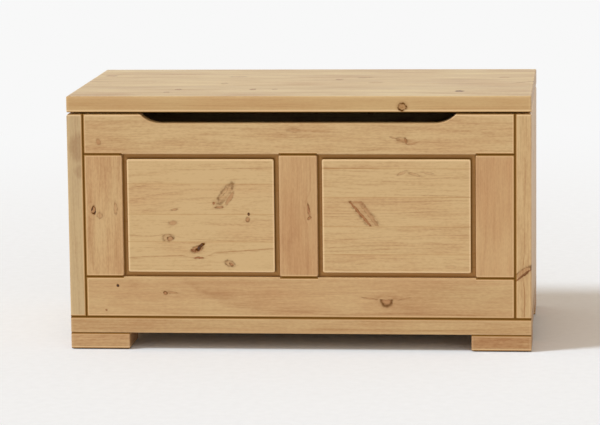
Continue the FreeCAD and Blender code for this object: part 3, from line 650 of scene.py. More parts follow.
def addHoles(shape, kindNames, low, high):
    # the holes that go into a board's box: a countersink and a taper for a screw, a plain bore for a dowel
    for kindName in kindNames:
        kind = fasteners[kindName]
        for start, axis, length in kind["places"]:
            end, near = start + axis * length, 0.1
            if any(max(start[i], end[i]) < low[i] - near or min(start[i], end[i]) > high[i] + near
                   for i in range(3)):
                continue
            fit = boreFit["plain"]
            if "radius" in kind:
                profile = ((kind["radius"] + fit, -boreFit["past"]), (kind["radius"] + fit, length + boreFit["past"]))
            else:
                profile = ((kind["head"] + boreFit["headTop"], -boreFit["above"]), (kind["head"] + boreFit["head"], 0),
                           (kind["shank"] + fit, kind["sink"]), (kind["tip"] + fit, length + boreFit["below"]))
            latheInto(shape, start, axis, profile)


# millimetres from a round at which the mesh is split, how far the pale rub, a painted highlight with some wear, and
# the painted shade reach, and their strength
edgeShade = {"steps": (0.5, 1.6, 3.0), "rubAndHighlight": 1.7, "freeRubAndHighlight": 0.2, "reach": 3.7, "depth": 1.4, "jointEnd": 0.4}


def splitAt(shape, axis, value):
    place, normal = [0, 0, 0], [0, 0, 0]
    place[axis], normal[axis] = value * mm, 1
    everything = [*shape.verts, *shape.edges, *shape.faces]
    bmesh.ops.bisect_plane(shape, geom=everything, dist=1e-7, plane_co=place, plane_no=normal)


def splitNearEdges(shape, low, high, width, joints=()):
    # rings of vertices just inside the rounds, so that painted shade and painted highlight stop there, and at both
    # ends of a short joint
    for i in range(3):
        for step in edgeShade["steps"]:
            for value in (low[i] + width + step, high[i] - width - step):
                splitAt(shape, i, value)
    for joint in joints:
        for span in joint[3] if len(joint) > 3 else ():
            for value in span:
                if abs(value) < high[0] - 1:
                    splitAt(shape, 0, value - edgeShade["jointEnd"])
                    splitAt(shape, 0, value + edgeShade["jointEnd"])


def markEdges(piece, joints, low, high, width):
    # rounded edges get a pale band, painted highlight that stands also for a little wear, and those that run down into
    # a joint get painted shade, darker towards it.
    # a joint is (axis, place, reach of its shade, spans along X); the last two can be left out
    creviceShadeAndGlue = piece.data.attributes.new("creviceShadeAndGlue", "FLOAT", "POINT")
    wornAndHighlight = piece.data.attributes.new("wornAndHighlight", "FLOAT", "POINT")
    for vertex, dark, pale in zip(piece.data.vertices, creviceShadeAndGlue.data, wornAndHighlight.data):
        place = vertex.co / mm
        inside = [min(place[i] - low[i], high[i] - place[i]) - width for i in range(3)]
        shade, rubAndHighlight = 0, edgeShade["freeRubAndHighlight"]
        for axis, value, *more in joints:
            along = "xyz".index(axis)
            reach = more[0] if more else edgeShade["reach"]
            away = abs(place[along] - value)
            if len(more) > 1 and not any(first <= place[0] <= last for first, last in more[1]):
                continue
            if any(inside[i] < 0.1 for i in range(3) if i != along):
                shade = max(shade, edgeShade["depth"] * (1 - away / reach))
            if away < width + edgeShade["rubAndHighlight"]:
                rubAndHighlight = 1
        dark.value = shade
        pale.value = rubAndHighlight if sum(item < edgeShade["rubAndHighlight"] for item in inside) > 1 else 0


def makeBoard(name, board, body="carcass"):
    # a board over its CAD node, with its rounds, stub tenons, grooves and holes
    low, high = board.get("box") or nodeBox(board["node"])
    shape = roundedBlock(low, high, board["round"], board.get("planes", ()), 4, board.get("softEdges", ()))
    splitNearEdges(shape, low, high, board["round"], board.get("joints", ()))
    piece = newPiece(name, shape, pineMaterial("waxed pine " + name, board))
    if "tenons" in board:
        carve(piece, "UNION", lambda tool: [boxInto(tool, *tenon) for tenon in board["tenons"]])
    if "grooves" in board:
        carve(piece, "DIFFERENCE", lambda tool: [boxInto(tool, *groove) for groove in board["grooves"]])
    if "holes" in board:
        carve(piece, "DIFFERENCE", lambda tool: addHoles(tool, board["holes"], low, high))
    # painted highlight on the rounds and painted shade into the joints
    markEdges(piece, board.get("joints", ()), low, high, board["round"])
    return settle(piece, body, [board["node"]])


frontLow, frontHigh = nodeBox("front_bottom_rail")
frontY, frameBackY = frontLow[1], frontHigh[1]
innerX = frontHigh[0]
baseTop = nodeBox("base_board")[1][2]
openingLow, openingHigh = frontHigh[2], nodeBox("front_top_rail")[0][2]
bodyTop = nodeBox("front_top_rail")[1][2]
lidBottom = nodeBox("lid_panel")[0][2]
openingHighX = nodeBox("front_stile_right")[0][0]
muntinX = nodeBox("front_muntin")[1][0]
backRailLow, backRailHigh = nodeBox("back_top_rail")
backBoardLow, backBoardHigh = nodeBox("back_board_1")
# the groove in the front frame and the tongues that ride in it, in millimetres behind the front face; how deep
# grooves and tenons go, how far a cutting tool runs past its groove, and the play at the back boards
joinery = {"groove": (6.9, 15.1), "tongue": (7, 15), "grooveDepth": 9.0, "tenon": 8.5, "past": 1, "play": 0.15}
past = joinery["past"]
grooveY = tuple(frontY + value for value in joinery["groove"])
tongueY = tuple(frontY + value for value in joinery["tongue"])
backGrooveY = (backBoardLow[1] - joinery["play"], backBoardHigh[1] + joinery["play"])

lidBoard = {
    "node": "lid_panel", "slot": "pine_lid", "round": 2.2, "grain": "x", "seed": 3.1, "heart": -0.12,
    "cuts": (-172, -118, -61, 4, 63, 121, 170), "pith": (0.0, 0, 70), "tone": 0.25, "contrast": 1.3,
    # the top's painted light; the edge entry below keeps it off the lid's edges
    "polish": 0.4, "paintedTopLight": 0.30, "staves": 0.6,
    "edge": {"Contrast": 0.4, "Tone": 0.09, "Polish": 0.25, "Painted Top Light": 0.0, "End Grain": 0.05, "Heart": 0.12},
    "holes": ("battenScrews", "hingeScrewsLid", "stayBracketScrews"), "joints": (("z", lidBottom, 1.9),),
    "knots": [
        (-373, 109, 10, 9, 0, 0.6, 0.4, 1.0),
        (-137, 91, 15, 9, 5, 0.35, 0.2, 1.4),
        (-149, -24, 5, 9, 0, 0.4, 0.35, 1.0),
        (-234, -166, 5, 8, 0, 0.4, 0.35, 1.0),
        (-219, -120, 5, 8, 0, 0.6, 0.6, 1.2),
        (-88, -120, 5, 7, 0, 0.9, 0.7, 1.2),
        (-49, -120, 4, 6, 0, 0.5, 0.5, 0.8),
        (51, 41, 6, 8, 0, 0.7, 0.4, 1.0),
        (96, 74, 13, 6, 25, 0.6, 0.45, 1.0),
        (120, -12, 12, 8, 0, 0.4, 0.2, 1.0),
        (275, -151, 7, 9, 0, 2.0, 1.0, 1.2),
        (345, 74, 9, 8, 0, 0.5, 0.3, 1.0),
        (381, -9, 25, 1.8, 42, 1.0, 0.8, 0.4),
        # a round knot that comes out at the front edge
        {"Centre": (180, -228, 424), "Half Size": (7, 30, 6.6), "Spread": (30, 45, 16), "Core": 0.2, "Rim": 1.15,
         "Swell": 0.8},
        {"Centre": (179, -228, 424.5), "Half Size": (2.2, 30, 2.0), "Spread": (9, 45, 9), "Core": 0.4, "Rim": 0.3,
         "Swell": 0.0},
    ],
}
makeBoard("lidPanel", lidBoard, "lid")

sideBoards = {
    "Left": {
        "node": "side_panel_left", "seed": 11.7,
        "heart": 0.2, "edge": {"Grey": 0.34, "Tone": -0.14, "Heart": 0.0},
        "cuts": (-150, -88, -20, 47, 112, 170),
        "knots": [
            {"Centre": (354, -228, -378), "Half Size": (17, 16, 12), "Spread": (20, 20, 20), "Core": 0.0,
             "Rim": 0.0, "Stain": 2.2, "Swell": 0.0},
            {"Centre": (312, -228, -376), "Half Size": (8, 12, 8), "Spread": (20, 20, 20), "Core": 0.0,
             "Rim": 0.0, "Stain": 1.5, "Swell": 0.0},
            (290, 80, 12, 9, 0, 0.6, 0.6, 2.2),
            (140, -52, 13, 10, 0, 0.55, 0.6, 2.4),
            (215, 5, 2.5, 2.5, 0, 0.8, 0.8, 0.6),
            (365, -120, 8, 5, 20, 0.4, 0.5, 1.4),
        ],
    },
    "Right": {
        "node": "side_panel_right", "seed": 17.3,
        "heart": 0.2, "tone": -0.05, "cuts": (-161, -95, -37, 30, 104, 165),
        "knots": [
            # a spike knot that runs across the front edge
            {"Centre": (139, -228, 386), "Turn": (0, math.radians(55), 0), "Half Size": (17, 40, 5.2),
             "Spread": (40, 60, 14), "Core": 0.35, "Rim": 0.55, "Swell": 0.6},
            {"Centre": (134, -228, 386), "Turn": (0, math.radians(52), 0), "Half Size": (19, 40, 1.5),
             "Spread": (20, 60, 14), "Core": 1.6, "Rim": 0.7, "Swell": 0.0},
            (180, 120, 14, 10, 0, 0.6, 0.6, 2.4),
            (320, -70, 9, 12, 0, 0.5, 0.6, 2.0),
            (245, 35, 3, 3, 0, 0.8, 0.8, 0.8),
        ],
    },
}
for sideName, board in sideBoards.items():
    low, high = nodeBox(board["node"])
    board.update(slot="pine_board", round=1.5, topRound=4.5, grain="zSide", pith=(0.0, 0, 60))
    board["planes"] = (("y", low[1]), ("y", high[1]))
    outerX = low[0] if low[0] < 0 else high[0]
    board["softEdges"] = ((("x", outerX), ("z", high[2]), board["topRound"]),)
    board["joints"] = (("z", low[2]), ("z", high[2], 1.9), ("x", math.copysign(innerX, low[0])))
    board["holes"] = ("frontRailDowels", "backRailDowels", "baseDowels", "stayPlateScrews")
    grooveX = sorted(math.copysign(innerX + reach, low[0]) for reach in (-past, joinery["grooveDepth"]))
    play = 2 * joinery["play"]
    board["grooves"] = [((grooveX[0], backGrooveY[0], backBoardLow[2] - play),
                         (grooveX[1], backGrooveY[1], backBoardHigh[2] + play))]
    makeBoard("sidePanel" + sideName, board)

baseBoard = {
    "node": "base_board", "slot": "pine_board", "round": 1.5, "grain": "x", "seed": 23.9, "heart": 0.22,
    "tone": 0.24, "contrast": 0.7,
    "cuts": (-160, -92, -31, 38, 99, 160), "pith": (0.0, 0, 60), "joints": (("z", baseTop),),
    "holes": ("baseDowels", "footScrews"),
}
makeBoard("baseBoard", baseBoard)

feet = {
    "slot": "pine_foot", "round": 1.5, "grain": "x", "seed": 31.0, "heart": 0.6, "tone": 0.18, "rightTone": 0.46,
    "pith": (0.01, 20, 45), "holes": ("footScrews",),
}
for i, corner in enumerate(("front_left", "front_right", "rear_left", "rear_right")):
    foot = {**feet, "node": "foot_" + corner, "seed": feet["seed"] + 2.7 * i}
    if "right" in corner:
        foot["tone"] = feet["rightTone"]
    low, high = nodeBox(foot["node"])
    # painted shade where the foot stands on the floor and where it meets the base
    foot["joints"] = (("z", low[2], 2.4), ("z", high[2]))
    makeBoard("foot" + corner.title().replace("_", ""), foot)
print("lid, sides, base and feet made")

frontPlanes = (("y", frontY), ("y", frameBackY))
# where the uprights stand on the rails
uprightSpans = ((-innerX - past, -openingHighX), (-muntinX, muntinX), (openingHighX, innerX + past))
bottomRail = {
    "node": "front_bottom_rail", "slot": "pine_rail", "round": 1.8, "grain": "xFront", "seed": 41.2,
    "heart": 0.42, "tone": 0.09, "contrast": 0.7, "pith": (0.012, 96, 60), "planes": frontPlanes,
    "joints": (("x", -innerX), ("x", innerX), ("z", baseTop), ("z", openingLow, 3.7, uprightSpans)),
    "knots": [
        (-316, 112.6, 2.4, 2.3, 0, 3.0, 1, 0.4),
        (-232.6, 100, 3.6, 2.6, 0, 0.8, 0.9, 1.2),
        (-222, 101, 9, 1.8, -6, 0.3, 0.4, 0.4),
        (-337, 69.5, 1.6, 1.6, 0, 1.2, 0.7, 0.2),
        (150.9, 89.4, 9.6, 10.4, 0, 0.5, 0.85, 1.2, 0, 90.5, 0.2),
        (150.9, 90.2, 9.0, 0.7, 0, 0.7, 0.7, 0),
        (183, 92, 11, 1.2, 12, 0.3, 0.4, 0.2),
        (122, 92, 12, 1.2, -8, 0.3, 0.35, 0.2),
        # a wide patch of darker wood
        {"Centre": (260, 82, 0), "Half Size": (70, 28, 1e6), "Spread": (20, 20, 20), "Core": 0.0, "Rim": 0.0,
         "Stain": 0.45, "Swell": 0.0},
    ],
    "holes": ("frontRailDowels", "baseDowels"),
    "grooves": [((-innerX - past, grooveY[0], openingLow - joinery["grooveDepth"]),
                 (innerX + past, grooveY[1], openingLow + past))],
}
makeBoard("frontBottomRail", bottomRail)


def topRailOutline(cut):
    # half of the rail's upper edge, from the middle to the side: the hand cut-out's floor, sweep and corner
    sweep, corner, depth = cut["sweep"], cut["corner"], cut["depth"]
    slope = math.acos(1 - depth / (sweep + corner))
    flatX = cut["width"] / 2 - (sweep + corner) * math.sin(slope)
    floorZ = bodyTop - depth
    points = []
    for i in range(cut["steps"] + 1):
        a = slope * i / cut["steps"]
        points.append((flatX + sweep * math.sin(a), floorZ + sweep * (1 - math.cos(a))))
    for i in range(1, cut["steps"] + 1):
        a = slope * (1 - i / cut["steps"])
        points.append((cut["width"] / 2 - corner * math.sin(a), bodyTop - corner * (1 - math.cos(a))))
    points.append((innerX, bodyTop))
    points.append((innerX, openingHigh))
    return points


topRail = {
    "node": "front_top_rail", "slot": "pine_rail", "round": 1.8, "grain": "xFront", "seed": 47.9, "heart": 0.2,
    "contrast": 1.05, "tone": -0.05, "pith": (-0.010, 350, 66), "planes": frontPlanes,
    "joints": (("x", -innerX), ("x", innerX), ("z", bodyTop, 1.9), ("z", openingHigh, 3.7, uprightSpans)),
    "cutOut": {"width": 552, "depth": 16.5, "sweep": 50, "corner": 8, "steps": 12},
    "knots": [
        (-345, 364, 4.2, 5.5, 20, 0.55, 0.20, 0.6),
        (-6, 384, 12, 3, 0, 0.25, 0.2, 1.6),
        (179, 368, 10, 3.4, -10, 0.2, 0.35, 1.4),
        (186, 366, 2.0, 5.0, 20, 0.7, 0.5, 0.2),
        (167, 370.5, 9, 1.2, -14, 0.4, 0.3, 0.2),
        (196, 361, 9, 1.6, 10, 0.3, 0.3, 0.2),
    ],
}


def makeTopRail():
    half = topRailOutline(topRail["cutOut"])
    outline = half + [(-x, z) for x, z in reversed(half)]
    shape = bmesh.new()
    verts = [shape.verts.new((x * mm, frontY * mm, z * mm)) for x, z in outline]
    face = shape.faces.new(verts)
    grown = bmesh.ops.extrude_face_region(shape, geom=[face])["geom"]
    moved = [item for item in grown if isinstance(item, bmesh.types.BMVert)]
    bmesh.ops.translate(shape, vec=(0, (frameBackY - frontY) * mm, 0), verts=moved)
    shape.faces.ensure_lookup_table()
    for item in shape.faces:
        item.smooth = abs(item.normal.y) < 0.5 and abs(item.normal.z) < 0.9999 and abs(item.normal.x) < 0.9999
    roundEdges(shape, topRail["round"], frontPlanes)
    low, high = (-innerX, frontY, openingHigh), (innerX, frameBackY, bodyTop)
    splitNearEdges(shape, low, high, topRail["round"], topRail["joints"])
    piece = newPiece("frontTopRail", shape, pineMaterial("waxed pine frontTopRail", topRail))
    groove = ((-innerX - past, grooveY[0], openingHigh - past),
              (innerX + past, grooveY[1], openingHigh + joinery["grooveDepth"]))
    carve(piece, "DIFFERENCE", lambda tool: boxInto(tool, *groove))
    carve(piece, "DIFFERENCE", lambda tool: addHoles(tool, ("frontRailDowels",), low, high))
    # painted highlight on the rounds and painted shade into the joints
    markEdges(piece, topRail["joints"], low, high, topRail["round"])
    return settle(piece, "carcass", [topRail["node"]])


makeTopRail()

uprights = {
    "frontStileLeft": {
        "node": "front_stile_left", "seed": 53.3, "heart": 0.62, "pith": (0.015, -340, 50),
        "joints": (("x", -innerX), ("z", openingLow), ("z", openingHigh)),
        "knots": [
            (245.2, -356.0, 7.0, 3.2, 10, 0.5, 1.0, 1.4),
            (240.6, -353.4, 3.6, 1.3, 12, 2.8, 0.9, 0.0),
            (246.5, -358.2, 3.4, 1.2, 15, 2.6, 0.8, 0.0),
            (235.5, -345.5, 5.4, 5.0, 20, 0.25, 0.30, 0.8),
            (249.0, -317.5, 11.0, 2.8, 0, 0.3, 0.35, 0.8),
        ],
    },
    "frontMuntin": {
        "node": "front_muntin", "seed": 59.8, "heart": 0.85, "contrast": 0.6, "tone": 0.11, "pith": (0.010, -22, 46),
        "joints": (("z", openingLow), ("z", openingHigh)),
        "knots": [
            (247.0, 17.8, 10.0, 2.2, -8, 0.7, 0.55, 1.2),
            (248.0, 19.0, 5.0, 1.2, -8, 1.5, 0.4, 0.0),
            (232.0, 19.5, 3.4, 2.0, 50, 0.8, 0.6, 0.4),
        ],
    },
    "frontStileRight": {
        "node": "front_stile_right", "seed": 67.1, "heart": 0.8, "contrast": 0.6, "tone": 0.06,
        "pith": (-0.008, 352, 52), "joints": (("x", innerX), ("z", openingLow), ("z", openingHigh)),
    },
}
for name, upright in uprights.items():
    low, high = nodeBox(upright["node"])
    upright.update(grain="z", round=1.8, cornerRound=5, slot="pine_stile", planes=frontPlanes)
    upright["box"] = ((low[0], frontY, openingLow), (high[0], frameBackY, openingHigh))
    bottom, top = openingLow - joinery["tenon"], openingHigh + joinery["tenon"]
    shy = 0.05      # a tenon stays inside its stile's sides
    upright["tenons"] = [((low[0] + shy, tongueY[0], bottom), (high[0] - shy, tongueY[1], top))]
    upright["grooves"], upright["softEdges"] = [], []
    for x, inward in ((low[0], 1), (high[0], -1)):
        if abs(x) < innerX - past:
            for z in (openingLow, openingHigh):
                upright["softEdges"].append((("x", x), ("z", z), upright["cornerRound"]))
            span = sorted((x - inward * past, x + inward * joinery["grooveDepth"]))
            upright["grooves"].append(((span[0], grooveY[0], bottom - past), (span[1], grooveY[1], top + past)))
    makeBoard(name, upright)


def roundedLoop(shape, middle, half, corner, y, steps=6):
    # a ring of vertices round a rectangle with round corners, seen from the front, each with the way it faces
    loop = []
    corner = max(corner, 0.05)
    for sx, sz, start in ((1, 1, 0), (-1, 1, 90), (-1, -1, 180), (1, -1, 270)):
        for i in range(steps + 1):
            a = math.radians(start + 90 * i / steps)
            x = middle[0] + sx * (half[0] - corner) + corner * math.cos(a)
            z = middle[1] + sz * (half[1] - corner) + corner * math.sin(a)
            loop.append((shape.verts.new((x * mm, y * mm, z * mm)), math.cos(a), math.sin(a)))
    return loop


# the raised panels: how far the tongue goes into its groove, the channel, the field's round and its corners,
# and how much shade is painted on each ring at the right, top, left and bottom
panelShape = {
    "inGroove": 7.5, "channel": 8.5, "channelDepth": 7, "round": 1.6, "corner": 3.2, "sheetCorner": 0.3,
    # millimetres from the frame
    "channelShades": {0: (0.62, 0.42, 0.72, 0.80), 1.6: (0.46, 0.44, 0.88, 0.76), 3.2: (0.46, 0.50, 0.76, 0.58),
                      5.2: (0.55, 0.62, 0.52, 0.44)},
    # at the foot of the field, at its edge, on its side and where its round starts
    "fieldShades": ((0.85, 0.90, 0.46, 0.44), (1.0, 1.0, 0.5, 0.5), (0.8, 0.8, 0.4, 0.4), (0.5, 0.5, 0.2, 0.2)),
}


def makeFrontPanel(name, panel):
    # the tongue sheet, the channel's floor and the raised field, as rings joined one to the next
    low, high = nodeBox(panel["node"])
    middle = ((low[0] + high[0]) / 2, (low[2] + high[2]) / 2)
    sheet = ((high[0] - low[0]) / 2, (high[2] - low[2]) / 2)
    inGroove, channel, radius, corner = [panelShape[key] for key in ("inGroove", "channel", "round", "corner")]
    backY, floorY = high[1], frontY + panelShape["channelDepth"]
    noShade, sheetCorner, rings = (0, 0, 0, 0), panelShape["sheetCorner"], []

    def ring(inset, corner, y, shades, rubAndHighlight=0):
        rings.append(((sheet[0] - inset, sheet[1] - inset), corner, y, shades, rubAndHighlight))

    field = inGroove + channel
    ring(0, sheetCorner, backY, noShade)
    ring(0, sheetCorner, floorY, noShade)
    for away, shades in panelShape["channelShades"].items():
        ring(inGroove + away, sheetCorner + away / 3, floorY, shades)
    foot, edge, side, rise = panelShape["fieldShades"]
    ring(field - 1.2, corner + 1.2, floorY, foot)
    ring(field, corner, floorY, edge)
    ring(field, corner, floorY - 2, side)
    for i in range(6):
        a = math.pi / 2 * i / 5
        inset = radius * (1 - math.cos(a))
        ring(field + inset, corner - inset, frontY + radius * (1 - math.sin(a)), noShade if i else rise,
             min(1, i / 3))
    ring(field + radius + 0.5, corner - radius, frontY, noShade, 1)
    ring(field + radius + 2, corner - radius, frontY, noShade)
    shape = bmesh.new()
    creviceShadeAndGlue = shape.verts.layers.float.new("creviceShadeAndGlue")
    wornAndHighlight = shape.verts.layers.float.new("wornAndHighlight")
    loops = []
    for half, cornerNow, y, shades, rubAndHighlight in rings:
        loop = []
        # each ring carries painted shade by the way it faces, and the field's round a painted highlight
        for vertex, toRight, toTop in roundedLoop(shape, middle, half, cornerNow, y):
            weights = [max(0, way) ** 2 for way in (toRight, toTop, -toRight, -toTop)]
            vertex[creviceShadeAndGlue] = sum(shade * weight for shade, weight in zip(shades, weights))
            vertex[wornAndHighlight] = rubAndHighlight
            loop.append(vertex)
        loops.append(loop)
    for first, second in zip(loops, loops[1:]):
        for i in range(len(first)):
            j = (i + 1) % len(first)
            shape.faces.new((first[i], first[j], second[j], second[i]))
    for loop in (loops[0], loops[-1]):
        shape.faces.new(loop)
    for face in shape.faces:
        face.smooth = True
    piece = newPiece(name, shape, pineMaterial("waxed pine " + name, panel))
    return settle(piece, "carcass", [panel["node"]])


panels = {
    "frontPanelLeft": {
        "node": "front_panel_left", "grain": "xFront", "seed": 71.7, "heart": 0.0, "contrast": 1.1, "tone": -0.21,
        "cuts": (190, 238, 291), "pith": (0.012, 240, 70),
        "knots": [
            (-126.0, 274.5, 21, 7.0, 54, 0.2, 0.5, 0.8),
            (-127.6, 277.5, 11, 2.4, 52, 0.0, 0.40, 0.0),
            (-118.5, 266.0, 14, 3.4, 60, 0.60, 0.25, 0.0),
            (-146.5, 257.3, 2.2, 2.2, 0, 1.2, 0.8, 0.4),
            (-137.0, 250.7, 7.5, 2.2, 5, 0.7, 0.5, 0.6),
            (-85.6, 237.9, 2.2, 2.2, 0, 2.8, 1.0, 0.4),
            (-87.7, 229.4, 3.4, 4.2, 0, 0.6, 0.5, 0.5),
            (-214, 246.7, 6.0, 2.0, 10, 0.5, 0.4, 0.6),
            (-218, 222.8, 7.5, 4.0, 0, 0.5, 0.25, 0.9),
            (-227.3, 197.0, 10, 6.0, 0, 0.25, 0.50, 1.2),
            (-223.0, 195.5, 5.0, 4.0, 0, 0.7, 0.7, 0.0),
            (-176.4, 177.1, 10.0, 5.5, 15, 0.75, 0.45, 1.6),
            (-171.4, 181.6, 9.0, 2.2, 38, 2.3, 1.0, 0.0),
            (-173.5, 178.5, 3.0, 5.0, -15, 2.6, 1.0, 0.0),
            (-182.4, 175.0, 5.0, 1.8, -30, 1.4, 0.5, 0.0),
            (-174.4, 161.9, 8.5, 2.0, 0, 1.3, 0.6, 0.6),
            (-120.0, 152.6, 8.5, 5.5, -20, 0.25, 0.60, 0.9),
            (-117.0, 151.0, 4.0, 2.4, -40, 0.9, 0.5, 0.0),
        ],
    },
    "frontPanelRight": {
        "node": "front_panel_right", "grain": "xFront", "seed": 83.1, "heart": 0.08, "contrast": 1.0, "tone": -0.11,
        "cuts": (169, 217.5, 268.5, 318), "pith": (-0.006, 250, 60),
        "knots": [
            (114.0, 240.0, 44, 9.4, -51, 0.25, 0.35, 0.4, 218, 262),
            (106.5, 240.0, 44, 1.9, -49, 1.1, 0.7, 0.0, 219, 261),
            (119.0, 244.0, 44, 3.6, -54, 0.50, 0.25, 0.0, 218, 262),
            (180.0, 311.0, 10, 2.4, 26, 0.25, 0.24, 0.6),
            (200.0, 308.0, 12, 2.2, -17, 0.22, 0.26, 0.6),
            (223.0, 310.5, 11, 1.8, -10, 0.2, 0.20, 0.5),
            (262.0, 148.0, 10, 3.0, 0, 0.2, 0.1, 0.5),
        ],
    },
}
for name, panel in panels.items():
    makeFrontPanel(name, panel)
print("front frame and panels made")

backPlanes = (("y", backRailLow[1]), ("y", backRailHigh[1]))
backRails = {
    "backTopRail": {
        "node": "back_top_rail", "seed": 91.3, "heart": 0.3, "pith": (0.008, 360, 62),
        "knots": [(-210, 380, 9, 6, 0, 0.6, 0.6, 1.6), (96, 366, 5, 4, 0, 0.5, 0.6, 1.0)],
    },
    "backBottomRail": {
        "node": "back_bottom_rail", "seed": 97.6, "heart": 0.4, "pith": (-0.010, 70, 58),
        "knots": [(140, 84, 8, 6, 10, 0.6, 0.6, 1.6), (-300, 78, 4, 4, 0, 0.7, 0.7, 0.8)],
    },
}
for name, rail in backRails.items():
    low, high = nodeBox(rail["node"])
    rail.update(slot="pine_rail", round=1.3, grain="xFront", planes=backPlanes)
    rail["joints"] = (("x", low[0]), ("x", high[0]), ("z", baseTop))
    depth = joinery["grooveDepth"]
    grooveZ = (low[2] - past, low[2] + depth) if low[2] > openingLow else (high[2] - depth, high[2] + past)
    rail["grooves"] = [((low[0] - past, backGrooveY[0], grooveZ[0]), (high[0] + past, backGrooveY[1], grooveZ[1]))]
    rail["holes"] = ("backRailDowels", "baseDowels", "hingeScrewsBack")
    makeBoard(name, rail)


def makeTree(name, inputs):
    # a Geometry Nodes tree with named inputs
    tree = bpy.data.node_groups.new(name, "GeometryNodeTree")
    addSockets(tree, {"Geometry": ("NodeSocketGeometry", None), **inputs}, {"Geometry": "NodeSocketGeometry"})
    return tree, addNode(tree, "NodeGroupInput").outputs


def finishTree(tree, shape, material):
    # instances become real and get their material
    flat = addNode(tree, "GeometryNodeRealizeInstances", {"Geometry": shape})
    dressed = addNode(tree, "GeometryNodeSetMaterial", {"Geometry": flat, "Material": material})
    addNode(tree, "NodeGroupOutput", {0: dressed})
    return tree


def aimAtAxis(tree, given):
    # the points that the tree is given, and for each the turn that brings Z to its axis
    points = addNode(tree, "GeometryNodeMeshToPoints", {"Mesh": given["Geometry"]})
    axis = addNode(tree, "GeometryNodeInputNamedAttribute", {"Name": "axis"}, data_type="FLOAT_VECTOR")
    return points, addNode(tree, "FunctionNodeAlignRotationToVector", {"Vector": axis}, axis="Z")


def grow(name, tree, settings, places=()):
    # runs a tree on points that know their axis, and keeps the result as a plain mesh
    mesh = bpy.data.meshes.new(name)
    mesh.from_pydata([place[0] * mm for place in places], [], [])
    axes = mesh.attributes.new("axis", "FLOAT_VECTOR", "POINT")
    for item, place in zip(axes.data, places):
        item.vector = place[1]
    piece = bpy.data.objects.new(name, mesh)
    bpy.context.scene.collection.objects.link(piece)
    modifier = piece.modifiers.new(name, "NODES")
    modifier.node_group = tree
    for socket in tree.interface.items_tree:
        if socket.in_out == "INPUT" and socket.name in settings:
            modifier[socket.identifier] = settings[socket.name]
    bpy.context.view_layer.update()
    applyModifiers(piece)
    piece.data.set_sharp_from_angle(angle=math.radians(30))
    return piece


